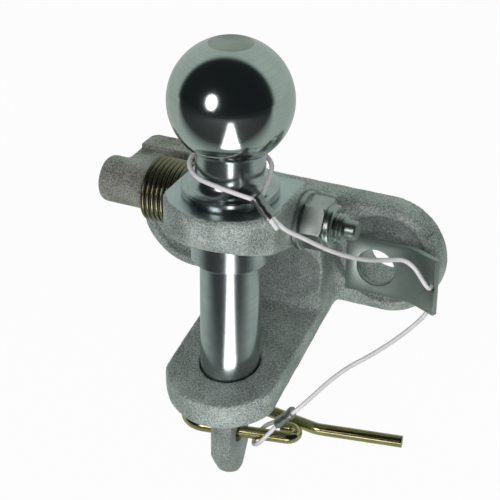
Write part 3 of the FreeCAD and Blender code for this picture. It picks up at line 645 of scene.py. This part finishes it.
@dataclass
class BallPin:
    """Tow ball, neck, flange, shank and pin in one turned piece, with a flat tang below."""

    shop: Shop
    setback: float = 68.0
    lug_top: float = 48.5
    ball_radius: float = 25.0
    ball_height: float = 39.5
    flat_radius: float = 8.9
    neck_radius: float = 14.0
    flange_radius: float = 19.6
    flange_rim: float = 4.3
    shank_radius: float = 15.9
    shank_end: float = -29.3
    pin_radius: float = 12.4
    pin_end: float = -99.0
    pin_slope: float = 2.4
    tang_radius: float = 10.0
    tang_half: float = 4.7
    tang_side_end: float = -122.5
    tang_side_round: float = 3.0
    tang_end: float = -133.0
    nose_radius: float = 4.0
    nose_round: float = 2.0
    nose_slope: float = 320.0
    clip_hole: float = -114.0
    clip_hole_radius: float = 4.2
    shaft_back: float = 17.0
    shaft_depth: float = -15.0
    shaft_clear: float = 6.2
    ease: float = 0.7
    tang_ease: float = 1.6
    tang_sharp: float = 38.0
    seam: float = 0.2
    level: float = 0.999

    def ball_foot(self) -> float:
        """How far the ball's middle stands above its foot on the neck."""
        return math.sqrt(self.ball_radius**2 - self.neck_radius**2)

    def profile(self) -> list[Corner]:
        """Outline of the turning from the nose up to the flat on the ball."""
        soft = self.ease
        round_up = self.flange_radius - self.neck_radius
        foot = math.degrees(math.asin(-self.ball_foot() / self.ball_radius))
        crown = math.degrees(math.acos(self.flat_radius / self.ball_radius))
        neck = arc((self.flange_radius, self.flange_rim + round_up), round_up, 270.0, 180.0, 14)
        side = (self.tang_radius - self.tang_side_round, self.tang_side_end)
        nose = (self.nose_radius, self.tang_end + self.nose_round)
        points = [(0.0, self.tang_end)]
        points += arc(nose, self.nose_round, 270.0, self.nose_slope, 5)
        points += arc(side, self.tang_side_round, self.nose_slope, 360.0, 5)
        points += [(self.tang_radius, self.pin_end - self.pin_slope), (self.pin_radius, self.pin_end)]
        points += [(self.pin_radius, self.shank_end - soft), (self.shank_radius - soft, self.shank_end)]
        points += [(self.shank_radius, self.shank_end + soft), (self.shank_radius, 0.0)]
        points += [(self.flange_radius - soft, 0.0), (self.flange_radius, soft)]
        points += arc((self.flange_radius - soft, self.flange_rim - soft), soft, 0.0, 90.0, 4)
        points += neck[2:]
        points += arc((0.0, self.ball_height), self.ball_radius, foot, crown, 64)
        points += [(0.0, self.ball_height + math.sqrt(self.ball_radius**2 - self.flat_radius**2))]
        return points

    def bar(self, name: str, radius: float, y: float, z: float) -> Thing:
        """Round bar along X that cuts a hole or groove."""
        middle = mm(0, y - self.setback, z + self.lug_top)
        place = Matrix.Translation(middle) @ Matrix.Rotation(math.pi / 2, 4, "Y")
        half = 2 * self.ball_radius
        profile = [(0, -half), (radius, -half), (radius, half), (0, half)]
        return show(name, turned_mesh(name, profile, place, 64))

    def side_block(self, sign: int) -> Thing:
        """Block that cuts one flat of the tang."""
        width = 2 * self.pin_radius
        height = 2 * (self.pin_end - self.tang_end)
        x = sign * (self.tang_half + width / 2)
        middle = mm(x, -self.setback, self.lug_top + self.pin_end - height / 2)
        return block("tang_block", mm(width, 2 * width, height), middle)

    def ease_tang(self, mesh: Mesh) -> None:
        """Round the sharp edges of the tang, but not those of its hole."""
        low = (self.lug_top + self.pin_end - self.tang_ease) * MM
        hole = mm(0, -self.setback, self.lug_top + self.clip_hole)
        clear = (self.clip_hole_radius + self.ease) * MM
        work = bmesh.new()
        work.from_mesh(mesh)
        edges = []
        for edge in work.edges:
            ends = [vert.co for vert in edge.verts]
            near_hole = any((end - hole).yz.length < clear for end in ends)
            sharp = len(edge.link_faces) == 2 and edge.calc_face_angle() > math.radians(self.tang_sharp)
            if sharp and not near_hole and max(end.z for end in ends) < low:
                edges.append(edge)
        bmesh.ops.bevel(
            work, geom=edges, offset=self.tang_ease * MM, segments=4, profile=0.5, affect="EDGES",
            clamp_overlap=True,
        )
        work.to_mesh(mesh)
        work.free()

    def turning(self) -> Thing:
        """Turn the piece, then cut its flats, clip hole and shaft groove."""
        place = Matrix.Translation(mm(0, -self.setback, self.lug_top))
        thing = show("pin_work", turned_mesh("ball_and_pin", self.profile(), place, 128))
        cutters = [
            self.side_block(1),
            self.side_block(-1),
            self.bar("clip_hole_bar", self.clip_hole_radius, 0.0, self.clip_hole),
            self.bar("groove_bar", self.shaft_clear, self.shaft_back, self.shaft_depth),
        ]
        mesh = cut_away(thing, cutters)
        self.ease_tang(mesh)
        tang_top = (self.lug_top + self.pin_end - self.seam) * MM
        ball_bottom = (self.lug_top + self.ball_height - self.ball_foot()) * MM
        finishes = [TURNED_ZINC, TANG_ZINC, POLISHED_ZINC, FACED_ZINC]
        for face in mesh.polygons:
            finish = TURNED_ZINC
            if face.center.z < tang_top:
                finish = TANG_ZINC
            elif face.center.z > ball_bottom:
                finish = FACED_ZINC if face.normal.z > self.level else POLISHED_ZINC
            face.material_index = finishes.index(finish)
        return self.shop.piece("ball_and_pin", mesh, finishes, Body.HITCH, "ball_pin", "turned_steel", 12.0)


@dataclass
class ReleaseLever:
    """Sprung lever on the left, its shaft through the lug, and the nut that keeps it there."""

    shop: Shop
    y: float = -51.0
    z: float = 33.5
    lug_side: float = 24.6
    cast_grid: float = 0.42
    cast_ease: int = 9
    cast_dent: float = 0.3
    shaft_radius: float = 6.0
    shaft_left: float = -59.0
    shaft_flat: float = 1.0
    shaft_flat_half: float = 18.0
    shaft_ease: float = 0.6
    thread_radius: float = 5.9
    thread_pitch: float = 1.6
    thread_deep: float = 0.75
    thread_start: float = 38.0
    thread_end: float = 43.0
    thread_root: float = 0.5
    thread_crest: float = 0.95
    stub_radius: float = 4.0
    stub_end: float = 47.8
    washer_radius: float = 12.0
    washer_bore: float = 6.3
    washer_thick: float = 2.0
    washer_ease: float = 0.4
    nut_flats: float = 19.0
    nut_hex: float = 9.2
    nut_height: float = 12.4
    foot_cut: float = 0.9
    foot_slope: float = 1.6
    head_cut: float = 0.6
    head_slope: float = 1.3
    collar_radius: float = 8.8
    collar_round: float = 1.4
    collar_step: float = 0.3
    nut_bore: float = 5.95
    lip_bore: float = 7.0
    lip: float = 0.7
    insert_radius: float = 7.8
    insert_thick: float = 2.3
    insert_ease: float = 0.3
    spring_wire: float = 1.0
    spring_mean: float = 12.8
    spring_pitch: float = 2.1
    spring_turns: float = 8.0
    spring_gap: float = 0.06

    # Heights in millimetres at which the nut's hexagon is measured, closest where it is chamfered
    HEX_HEIGHTS = (0.0, 0.25, 0.55, 1.0, 2.0, 5.0, 7.4, 8.0, 8.5, 8.9)

    def place(self, x: float) -> Matrix:
        """Frame whose upright axis runs along the shaft, starting at X in millimetres."""
        return Matrix.Translation(mm(x, self.y, self.z)) @ Matrix.Rotation(math.pi / 2, 4, "Y")

    def fit(
        self, name: str, mesh: Mesh, finish: Finish, node: str, slot: str, crease: float
    ) -> Thing:
        """Make a mesh a piece that turns with the lever."""
        return self.shop.piece(name, mesh, [finish], Body.LEVER, node, slot, crease)

    def lever(self) -> Thing:
        """Cast lever with soft edges."""
        mesh = softened("release_lever", self.cast_grid, self.cast_ease, self.cast_dent)
        return self.fit("lever_casting", mesh, CAST_LEVER, "release_lever", "lever_casting", 180.0)

    def shaft(self) -> Thing:
        """Shaft with its half-moon cut and a cut thread at the nut end."""
        soft = self.shaft_ease
        crest = self.thread_radius
        root = crest - self.thread_deep
        stub = self.stub_radius
        barrel = self.shaft_radius
        profile = [(0.0, self.shaft_left), (barrel, self.shaft_left), (barrel, self.lug_side)]
        profile += [(crest, self.lug_side + soft), (crest, self.thread_start)]
        for step in range(int((self.thread_end - self.thread_start) / self.thread_pitch)):
            low = self.thread_start + step * self.thread_pitch
            profile.append((root, low + self.thread_pitch * self.thread_root))
            profile.append((crest, low + self.thread_pitch * self.thread_crest))
        profile += [(stub + soft, self.thread_end), (stub, self.thread_end + soft)]
        profile += [(stub, self.stub_end - soft), (stub - soft, self.stub_end), (0.0, self.stub_end)]
        thing = show("shaft_work", turned_mesh("lock_shaft_bar", profile, self.place(0.0), 64))
        tall = 2 * self.shaft_radius
        middle = mm(0, self.y, self.z + self.shaft_flat + tall / 2)
        moon = block("half_moon_block", mm(2 * self.shaft_flat_half, 2 * tall, tall), middle)
        mesh = cut_away(thing, [moon])
        return self.fit("release_shaft", mesh, BRIGHT_ZINC, "lock_shaft", "shaft_steel", 25.0)

    def washer(self) -> Thing:
        """Flat washer with one rolled edge."""
        soft = self.washer_ease
        outer = self.washer_radius
        profile = [(self.washer_bore, 0.0), (outer, 0.0), (outer, self.washer_thick - soft)]
        profile += [(outer - soft, self.washer_thick), (self.washer_bore, self.washer_thick)]
        mesh = turned_mesh("washer", profile, self.place(self.lug_side))
        return self.fit("nut_washer", mesh, BRIGHT_ZINC, "shaft_washer", "washer_steel", 25.0)

    def hex_radius(self, angle: float, height: float) -> float:
        """Outer radius of the nut at an angle and height, hexagon cut back by its chamfers."""
        side = math.pi / 3
        off = (angle + side / 2) % side - side / 2
        flat = self.nut_flats / 2
        corner = flat / math.cos(side / 2)
        bottom = corner - self.foot_cut + self.foot_slope * height
        top = corner - self.head_cut + self.head_slope * (self.nut_hex - height)
        return min(flat / math.cos(off), bottom, max(top, self.collar_radius))

    def nut(self) -> Thing:
        """Locking nut: chamfered hexagon and round collar rolled over the insert."""
        turn = self.collar_round
        middle = (self.collar_radius - turn, self.nut_height - turn)
        seat = self.nut_height - self.lip
        ledge = seat - self.insert_thick
        plain = [(self.collar_radius, self.nut_hex + self.collar_step)]
        plain += arc(middle, turn, 0.0, 90.0, 6)
        plain += [(self.lip_bore, self.nut_height), (self.lip_bore, seat), (self.insert_radius, seat)]
        plain += [(self.insert_radius, ledge), (self.nut_bore, ledge), (self.nut_bore, 0.0)]
        heights = (*self.HEX_HEIGHTS, self.nut_hex)
        corners = [
            lambda angle, height=height: (self.hex_radius(angle, height), height) for height in heights
        ]
        place = self.place(self.lug_side + self.washer_thick)
        mesh = spun_mesh("nut", corners + steady(plain), place, 144)
        return self.fit("locking_nut", mesh, BRIGHT_ZINC, "lock_nut", "nut_steel", 28.0)

    def insert(self) -> Thing:
        """Moulded ring inside the nut's collar."""
        seat = self.nut_height - self.lip
        ledge = seat - self.insert_thick
        soft = self.insert_ease
        inner = self.nut_bore
        profile = [(inner, ledge), (self.insert_radius, ledge), (self.insert_radius, seat)]
        profile += [(inner + soft, seat), (inner, seat - soft)]
        mesh = turned_mesh("insert", profile, self.place(self.lug_side + self.washer_thick), 64)
        return self.fit("nut_insert_ring", mesh, NYLON, "nut_insert", "insert_nylon", 40.0)

    @staticmethod
    def coil_tree(material: bpy.types.Material) -> Tree:
        """Geometry tree that winds a spring from its sizes.

        Args:
            material: what the wire is dressed in
        Returns:
            the tree, with inputs for turns, mean radius, height and wire radius
        """
        tree = bpy.data.node_groups.new("Spring coil", "GeometryNodeTree")
        for label in ("Turns", "Mean radius", "Height", "Wire"):
            tree.interface.new_socket(label, in_out="INPUT", socket_type="NodeSocketFloat")
        tree.interface.new_socket("Geometry", in_out="OUTPUT", socket_type="NodeSocketGeometry")
        given = tree.nodes.new("NodeGroupInput")
        result = tree.nodes.new("NodeGroupOutput")
        spiral = add(tree, "GeometryNodeCurveSpiral", {"Resolution": 64})
        ring = add(tree, "GeometryNodeCurvePrimitiveCircle", {"Resolution": 14})
        sweep = add(tree, "GeometryNodeCurveToMesh", {"Fill Caps": True})
        real = add(tree, "GeometryNodeRealizeInstances")
        dress = add(tree, "GeometryNodeSetMaterial", {"Material": material})
        link(
            tree,
            (given.outputs["Turns"], spiral.inputs["Rotations"]),
            (given.outputs["Mean radius"], spiral.inputs["Start Radius"]),
            (given.outputs["Mean radius"], spiral.inputs["End Radius"]),
            (given.outputs["Height"], spiral.inputs["Height"]),
            (given.outputs["Wire"], ring.inputs["Radius"]),
            (spiral.outputs["Curve"], sweep.inputs["Curve"]),
            (ring.outputs["Curve"], sweep.inputs["Profile Curve"]),
            (sweep.outputs["Mesh"], real.inputs["Geometry"]),
            (real.outputs["Geometry"], dress.inputs["Geometry"]),
            (dress.outputs["Geometry"], result.inputs["Geometry"]),
        )
        return tree

    def spring(self) -> Thing:
        """Return spring wound between the lug and the lever's arm."""
        tree = self.coil_tree(self.shop.material(SPRING_OLIVE))
        thing = show("spring_work", bpy.data.meshes.new("spring_seed"))
        winding = thing.modifiers.new("Coil", "NODES")
        winding.node_group = tree
        height = self.spring_pitch * self.spring_turns
        sizes = {
            "Turns": self.spring_turns,
            "Mean radius": self.spring_mean * MM,
            "Height": height * MM,
            "Wire": self.spring_wire * MM,
        }
        for socket in tree.interface.items_tree:
            if socket.in_out == "INPUT":
                winding[socket.identifier] = sizes[socket.name]
        mesh = settle(thing)
        mesh.transform(self.place(-self.lug_side - self.spring_wire - self.spring_gap - height))
        return self.shop.piece(
            "return_spring", mesh, [SPRING_OLIVE], Body.HITCH, "lever_spring", "spring_steel", 60.0
        )


@dataclass
class RetainingClip:
    """Wire clip through the tang: handle, waist, back leg, leg through the hole, curled eye."""

    shop: Shop
    hole: Place = (0.0, -68.0, -65.5)
    yaw: float = 11.0
    wire: float = 2.6
    bend: float = 10.2
    bend_place: float = -11.0
    eye: float = 3.7
    eye_place: float = 24.5
    handle: Corner = (73.0, 9.2)
    waist: Corner = (36.0, 9.6)
    back_place: float = 6.0
    easy: float = 10.4
    full_bend: float = 0.999
    arc_step: float = 5.0
    fewest_steps: int = 6

    def place(self) -> Matrix:
        """Frame in the tang hole, first axis along the leg through it."""
        return Matrix.Translation(mm(*self.hole)) @ Matrix.Rotation(math.radians(self.yaw), 4, "Z")

    def corner(self, before: Vector, at: Vector, after: Vector, radius: float) -> list[Vector]:
        """Round one corner of the bent wire by points of a tangent arc."""
        back = (before - at).normalized()
        ahead = (after - at).normalized()
        half = (math.pi - back.angle(ahead)) / 2
        middle = at + (back + ahead).normalized() * (radius / math.cos(half))
        first = at + back * radius * math.tan(half) - middle
        last = at + ahead * radius * math.tan(half) - middle
        total = 2 * half
        count = max(self.fewest_steps, int(math.degrees(total) / self.arc_step))
        sweep = (step / count for step in range(count + 1))
        whole = math.sin(total)
        return [
            middle + (first * math.sin((1 - share) * total) + last * math.sin(share * total)) / whole
            for share in sweep
        ]

    def bent(self) -> Thing:
        """Bend the clip."""
        far = self.bend_place - self.bend
        end = self.eye_place + self.eye
        back = 2 * self.bend
        corners = [self.handle, self.waist, (self.back_place, back), (far, back), (far, 0.0), (end, 0.0)]
        corners += [(end, 2 * self.eye), (end - 2 * self.eye, 2 * self.eye)]
        radii = [self.easy] * 2 + [self.bend * self.full_bend] * 2 + [self.eye * self.full_bend] * 2
        route = [Vector((*corner, 0.0)) for corner in corners]
        points = [route[0]]
        for index, radius in enumerate(radii, start=1):
            points += self.corner(route[index - 1], route[index], route[index + 1], radius)
        points.append(route[-1])
        mesh = wire_mesh("clip_wire", [self.place() @ (point * MM) for point in points], self.wire * MM)
        return self.shop.piece(
            "wire_clip", mesh, [YELLOW_ZINC], Body.CLIP, "retaining_clip", "clip_wire", 40.0
        )


@dataclass
class Lanyard:
    """Coated cable: loop round the neck, run through the tab to the clip, loop round the clip."""

    shop: Shop
    clip: RetainingClip
    cable: float = 0.95
    strand: float = 1.0
    neck_radius: float = 16.2
    neck_apex: float = 25.9
    neck_turn: float = -41.0
    neck_tilt: float = 6.8
    neck_height: float = 57.0
    setback: float = 68.0
    loop_radius: float = 5.4
    loop_apex: float = 11.5
    loop_place: float = 14.3
    loop_pull: Place = (0.67, 0.05, 0.74)
    loop_step: float = 36.0
    loop_first: float = 54.0
    loop_corners: int = 8
    sleeve: float = 10.0
    grip: float = 1.5
    dip: float = 50.0
    tail: float = 5.0
    sleeve_wide: float = 6.0
    sleeve_thick: float = 4.0
    sleeve_facets: int = 40
    run_length: float = 0.192
    neck_length: float = 0.112
    loop_length: float = 0.0417

    # First half of a ferrule: place along it, then thickness and width as shares of the full ones
    CRIMP = (
        (0.0, 0.80, 0.99),
        (0.02, 0.94, 0.94),
        (0.06, 1.0, 1.0),
        (0.22, 1.0, 1.0),
        (0.28, 0.86, 0.99),
        (0.40, 0.86, 0.99),
        (0.46, 1.0, 1.0),
    )

    # Route of the run in millimetres, from the upper ferrule through the tab to the lower one
    RUN = (
        (23.9, -83.9, 51.7),
        (28.1, -83.9, 46.7),
        (33.3, -74.3, 38.8),
        (41.5, -62.0, 28.1),
        (49.0, -46.9, 18.6),
        (53.7, -32.7, 12.5),
        (61.9, -25.4, 11.2),
        (71.4, -27.8, 0.0),
        (71.4, -23.6, 0.0),
        (71.4, -19.4, 0.0),
        (70.4, -18.4, -13.8),
        (65.2, -24.3, -20.9),
        (53.4, -35.6, -30.6),
        (41.2, -46.9, -36.8),
        (31.0, -65.0, -47.1),
        (26.6, -65.3, -51.9),
    )

    def neck_place(self) -> Matrix:
        """Frame of the loop round the neck, first axis towards its ferrule."""
        rise = self.neck_apex * math.tan(math.radians(self.neck_tilt))
        turn = Matrix.Rotation(math.radians(self.neck_turn), 4, "Z")
        tilt = Matrix.Rotation(math.radians(self.neck_tilt), 4, "Y")
        return Matrix.Translation(mm(0, -self.setback, self.neck_height + rise)) @ turn @ tilt

    def loop_frame(self) -> Matrix:
        """Frame of the loop round the clip, first axis towards its ferrule."""
        clip = self.clip.place()
        leg = (clip.to_3x3() @ Vector((1, 0, 0))).normalized()
        pull = Vector(self.loop_pull).normalized()
        around = (leg - pull * leg.dot(pull)).normalized()
        turn = Matrix((pull, around.cross(pull), around)).transposed()
        return Matrix.Translation(clip @ mm(self.loop_place, 0, 0)) @ turn.to_4x4()

    def upper_frame(self) -> Matrix:
        """Frame of the upper ferrule, first axis along it."""
        turn = Matrix.Rotation(math.radians(self.dip), 4, "Y")
        apex = self.neck_place() @ mm(self.neck_apex, 0, 0)
        return Matrix.Translation(apex - (turn @ mm(self.grip, 0, 0))) @ turn

    def lower_frame(self) -> Matrix:
        """Frame of the lower ferrule, first axis along it."""
        return self.loop_frame() @ Matrix.Translation(mm(self.loop_apex - self.grip, 0, 0))

    def cord(self, name: str, points: list[Vector], nodes: tuple[str, ...]) -> Thing:
        """Lay a cable along a smooth spline whose control points are given in metres."""
        line = round_line(name, "NURBS", points, self.cable * MM)
        line.resolution_u = 16
        line.bevel_resolution = 5
        spline = line.splines[0]
        spline.order_u = 3
        spline.use_endpoint_u = True
        line.materials.append(self.shop.material(CABLE_COAT))
        thing = show(name, line)
        LOG.info("%s is %.4f m long", name, spline.calc_length())
        return self.shop.hold(thing, Body.HITCH, nodes, "cable_coat")

    def teardrop(self, radius: float, apex: float, place: Matrix) -> list[Vector]:
        """Control points of a loop that leaves a ferrule and comes back to it."""
        reach = radius / math.cos(math.radians(self.loop_step / 2))
        angles = [math.radians(self.loop_first + self.loop_step * step) for step in range(self.loop_corners)]
        ring = [(reach * math.cos(a), reach * math.sin(a)) for a in angles]
        route = [(apex, self.strand), *ring, (apex, -self.strand)]
        return [place @ mm(*point, 0.0) for point in route]

    def ferrule(self, name: str, place: Matrix, node: str) -> Thing:
        """Crimped sleeve: flat-sided tube, pressed in at two bands, its ends eased."""
        work = bmesh.new()
        half_side = (self.sleeve_wide - self.sleeve_thick) / 2
        radius = self.sleeve_thick / 2
        stations = [*self.CRIMP]
        stations += [(1.0 - share, thin, narrow) for share, thin, narrow in reversed(self.CRIMP)]
        rings: list[Ring] = []
        for share, thin, narrow in stations:
            ring = []
            for step in range(self.sleeve_facets):
                angle = 2 * math.pi * step / self.sleeve_facets
                side = half_side if math.cos(angle) > 0 else -half_side
                across = (side + radius * math.cos(angle)) * narrow
                spot = mm(share * self.sleeve, across, radius * math.sin(angle) * thin)
                ring.append(work.verts.new(place @ spot))
            rings.append(ring)
        stitch(work, list(zip(rings, rings[1:])))
        for end in (rings[0], rings[-1]):
            work.faces.new(end)
        return self.shop.piece(name, finished(work, name), [FERRULE_GREY], Body.HITCH, node, "ferrule", 35.0)

    def cut_end(self, upper: Matrix) -> Thing:
        """Short end of the cable that sticks out of the upper ferrule."""
        reach = (self.sleeve - self.grip, self.sleeve + self.tail)
        ends = [upper @ mm(along, -self.strand, 0) for along in reach]
        stub = wire_mesh("cut_end", ends, self.cable * MM)
        return self.shop.piece(
            "cable_cut_end", stub, [CABLE_COAT], Body.HITCH, "cable_tail", "cable_coat", 40.0
        )

    def lay(self) -> None:
        """Lay the whole lanyard in place of its cable solids."""
        upper = self.upper_frame()
        top_sleeve = self.ferrule("neck_ferrule", upper, "upper_ferrule")
        low_sleeve = self.ferrule("clip_ferrule", self.lower_frame(), "lower_ferrule")
        tail = self.cut_end(upper)
        neck = self.teardrop(self.neck_radius, self.neck_apex, self.neck_place())
        loop = self.teardrop(self.loop_radius, self.loop_apex, self.loop_frame())
        run = [mm(*point) for point in self.RUN]
        cable = self.cord("cable_run", run, ("cable_upper_run", "cable_lower_run"))
        neck_cord = self.cord("neck_loop", neck, ("cable_neck_loop",))
        loop_cord = self.cord("clip_loop", loop, ("cable_clip_loop",))


@dataclass(frozen=True)
class Lamp:
    """Soft box: its place, what it points at, its size in metres and its power in watts."""

    name: str
    spot: Place
    aim: Place
    size: tuple[float, float]
    power: float
    turn: float = 0.0
    shape: str = "RECTANGLE"
    mirrored: bool = True

    def hang(self) -> None:
        """Hang the lamp, turned about its own beam by its angle in degrees."""
        data = bpy.data.lights.new(self.name, "AREA")
        data.shape = self.shape
        data.size, data.size_y = self.size
        data.energy = self.power
        thing = show(self.name, data)
        beam = Vector(self.aim) - Vector(self.spot)
        face = beam.to_track_quat("-Z", "Y").to_matrix().to_4x4()
        spin = Matrix.Rotation(math.radians(self.turn), 4, "Z")
        thing.matrix_world = Matrix.Translation(self.spot) @ face @ spin
        thing.visible_glossy = self.mirrored


@dataclass
class Studio:
    """Pale floor, soft lamps, a room dark in front for the metal to mirror, and the camera."""

    floor_drop: float = 0.0008
    floor_half: float = 3.0
    floor_colour: Colour = (0.45, 0.45, 0.45)
    floor_rough: float = 0.9
    camera_share: float = 0.97
    glossy_share: float = 0.90
    floor_pale_until: float = 0.05
    floor_dark_from: float = 0.17
    dark_side: Place = (0.22, -0.965, 0.14)
    pale_room: Colour = (0.49, 0.55, 0.515)
    dark_room: Colour = (0.015, 0.018, 0.020)
    pale_until: float = 0.42
    dark_from: float = 0.51
    lens: float = 120.2
    sensor: float = 36.0
    nearest: float = 0.01
    eye: Place = (0.2491, -0.6012, 0.3469)
    right: Place = (0.91161, 0.41108, 0.0)
    up: Place = (-0.19856, 0.44032, 0.87562)
    back: Place = (0.35995, -0.79823, 0.48301)
    roll: float = 0.555
    aim: Place = (0.0, -0.060, 0.010)
    strip_place: tuple[float, float] = (0.131, -0.349)
    strip_rise: float = 0.002
    strip_turn: float = -25.0

    def camera(self) -> None:
        """Set the camera where the photograph was taken from."""
        lens = bpy.data.cameras.new("photo_camera")
        lens.sensor_fit = "HORIZONTAL"
        lens.sensor_width = self.sensor
        lens.lens = self.lens
        lens.clip_start = self.nearest
        thing = show("photo_camera", lens)
        turn = Matrix((self.right, self.up, self.back)).transposed().to_4x4()
        roll = Matrix.Rotation(math.radians(self.roll), 4, "Z")
        thing.matrix_world = Matrix.Translation(self.eye) @ turn @ roll
        bpy.context.scene.camera = thing

    def ahead(self, tree: Tree, place: Socket) -> Socket:
        """Return how far a place or a direction lies towards the dark side."""
        node = add(tree, "ShaderNodeVectorMath", {1: self.dark_side})
        node.operation = "DOT_PRODUCT"
        link(tree, (place, node.inputs[0]))
        return node.outputs["Value"]

    @staticmethod
    def blend(tree: Tree, share: Socket, first: Socket | Colour, second: Colour) -> Socket:
        """Return a colour between two, the first of which may come from a socket."""
        node = tree.nodes.new("ShaderNodeMix")
        node.data_type = "RGBA"
        factor, colours, result = node.inputs[0], node.inputs[6:8], node.outputs[2]
        colours[1].default_value = (*second, 1.0)
        if isinstance(first, tuple):
            colours[0].default_value = (*first, 1.0)
        else:
            link(tree, (first, colours[0]))
        link(tree, (share, factor))
        return result

    def floor_material(self) -> bpy.types.Material:
        """Pale matt floor, near white to the camera and fading to the dark room in mirrors."""
        material = bpy.data.materials.new("floor")
        material.use_nodes = True
        tree = material.node_tree
        shader = tree.nodes["Principled BSDF"]
        shader.inputs["Base Color"].default_value = (*self.floor_colour, 1.0)
        shader.inputs["Roughness"].default_value = self.floor_rough
        shader.inputs["Specular IOR Level"].default_value = 0.0
        place = add(tree, "ShaderNodeTexCoord")
        path = add(tree, "ShaderNodeLightPath")
        limits = {"From Min": self.floor_pale_until, "From Max": self.floor_dark_from}
        fade = add(tree, "ShaderNodeMapRange", limits)
        mirrored = self.blend(tree, fade.outputs["Result"], self.pale_room, self.dark_room)
        seen = self.blend(tree, path.outputs["Is Camera Ray"], mirrored, WHITE[:3])
        glow = add(tree, "ShaderNodeEmission")
        mix = add(tree, "ShaderNodeMixShader")
        to_camera = maths(tree, "MULTIPLY", path.outputs["Is Camera Ray"], self.camera_share)
        to_metal = maths(tree, "MULTIPLY", path.outputs["Is Glossy Ray"], self.glossy_share)
        link(
            tree,
            (self.ahead(tree, place.outputs["Object"]), fade.inputs["Value"]),
            (seen, glow.inputs["Color"]),
            (maths(tree, "ADD", to_camera, to_metal), mix.inputs["Fac"]),
            (shader.outputs["BSDF"], mix.inputs[1]),
            (glow.outputs["Emission"], mix.inputs[2]),
            (mix.outputs["Shader"], tree.nodes["Material Output"].inputs["Surface"]),
        )
        return material

    def floor(self, height: float) -> None:
        """Lay the floor, which still shows the object's shadow."""
        side = self.floor_half
        corners = [(-side, -side, height), (side, -side, height), (side, side, height), (-side, side, height)]
        mesh = bpy.data.meshes.new("floor")
        mesh.from_pydata(corners, [], [(0, 1, 2, 3)])
        mesh.materials.append(self.floor_material())
        show("floor", mesh)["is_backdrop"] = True

    def world(self) -> None:
        """White to the camera; to everything else a room that is pale behind and dark in front."""
        room = bpy.data.worlds.new("room")
        room.use_nodes = True
        bpy.context.scene.world = room
        tree = room.node_tree
        plain = tree.nodes["Background"]
        white = add(tree, "ShaderNodeBackground", {"Color": WHITE})
        place = add(tree, "ShaderNodeTexCoord")
        ramp = add(tree, "ShaderNodeValToRGB")
        ramp.color_ramp.interpolation = "EASE"
        stops = ((self.pale_until, self.pale_room), (self.dark_from, self.dark_room))
        for element, (position, colour) in zip(ramp.color_ramp.elements, stops):
            element.position = position
            element.color = (*colour, 1.0)
        lift = add(tree, "ShaderNodeMapRange", {"From Min": -1.0})
        path = add(tree, "ShaderNodeLightPath")
        mix = add(tree, "ShaderNodeMixShader")
        link(
            tree,
            (self.ahead(tree, place.outputs["Generated"]), lift.inputs["Value"]),
            (lift.outputs["Result"], ramp.inputs["Fac"]),
            (ramp.outputs["Color"], plain.inputs["Color"]),
            (path.outputs["Is Camera Ray"], mix.inputs["Fac"]),
            (plain.outputs["Background"], mix.inputs[1]),
            (white.outputs["Background"], mix.inputs[2]),
            (mix.outputs["Shader"], tree.nodes["World Output"].inputs["Surface"]),
        )

    def light(self, lowest: float) -> None:
        """Set the stage below and round the object.

        Args:
            lowest: height of the object's lowest point, in metres
        """
        floor = lowest - self.floor_drop
        self.floor(floor)
        strip = (*self.strip_place, floor + self.strip_rise)
        above = (*self.strip_place, floor + 1.0)
        lamps = (
            Lamp("left_window", (-0.156, -0.944, 0.321), self.aim, (0.32, 0.42), 1.4, shape="ELLIPSE"),
            Lamp("front_fill", (0.30, -0.80, 0.35), self.aim, (0.60, 0.60), 9.0, mirrored=False),
            Lamp("floor_strip", strip, above, (0.075, 0.48), 0.40, turn=self.strip_turn),
        )
        for lamp in lamps:
            lamp.hang()
        bpy.context.scene.view_settings.view_transform = "Standard"


def main() -> None:
    """Build every piece in order and set the stage under the solids' lowest point."""
    logging.basicConfig(level=logging.INFO)
    cad_box = [list(corner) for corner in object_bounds()]
    shop = Shop()
    studio = Studio()
    studio.camera()
    clip = RetainingClip(shop)
    Lanyard(shop, clip).lay()
    jaw = Jaw(shop)
    jaw.forging()
    jaw.tab()
    BallPin(shop).turning()
    lever = ReleaseLever(shop)
    for make in (lever.lever, lever.shaft, lever.washer, lever.nut, lever.insert, lever.spring):
        make()
    clip.bent()
    studio.world()
    studio.light(cad_box[0][2])


if __name__ == "__main__":
    main()
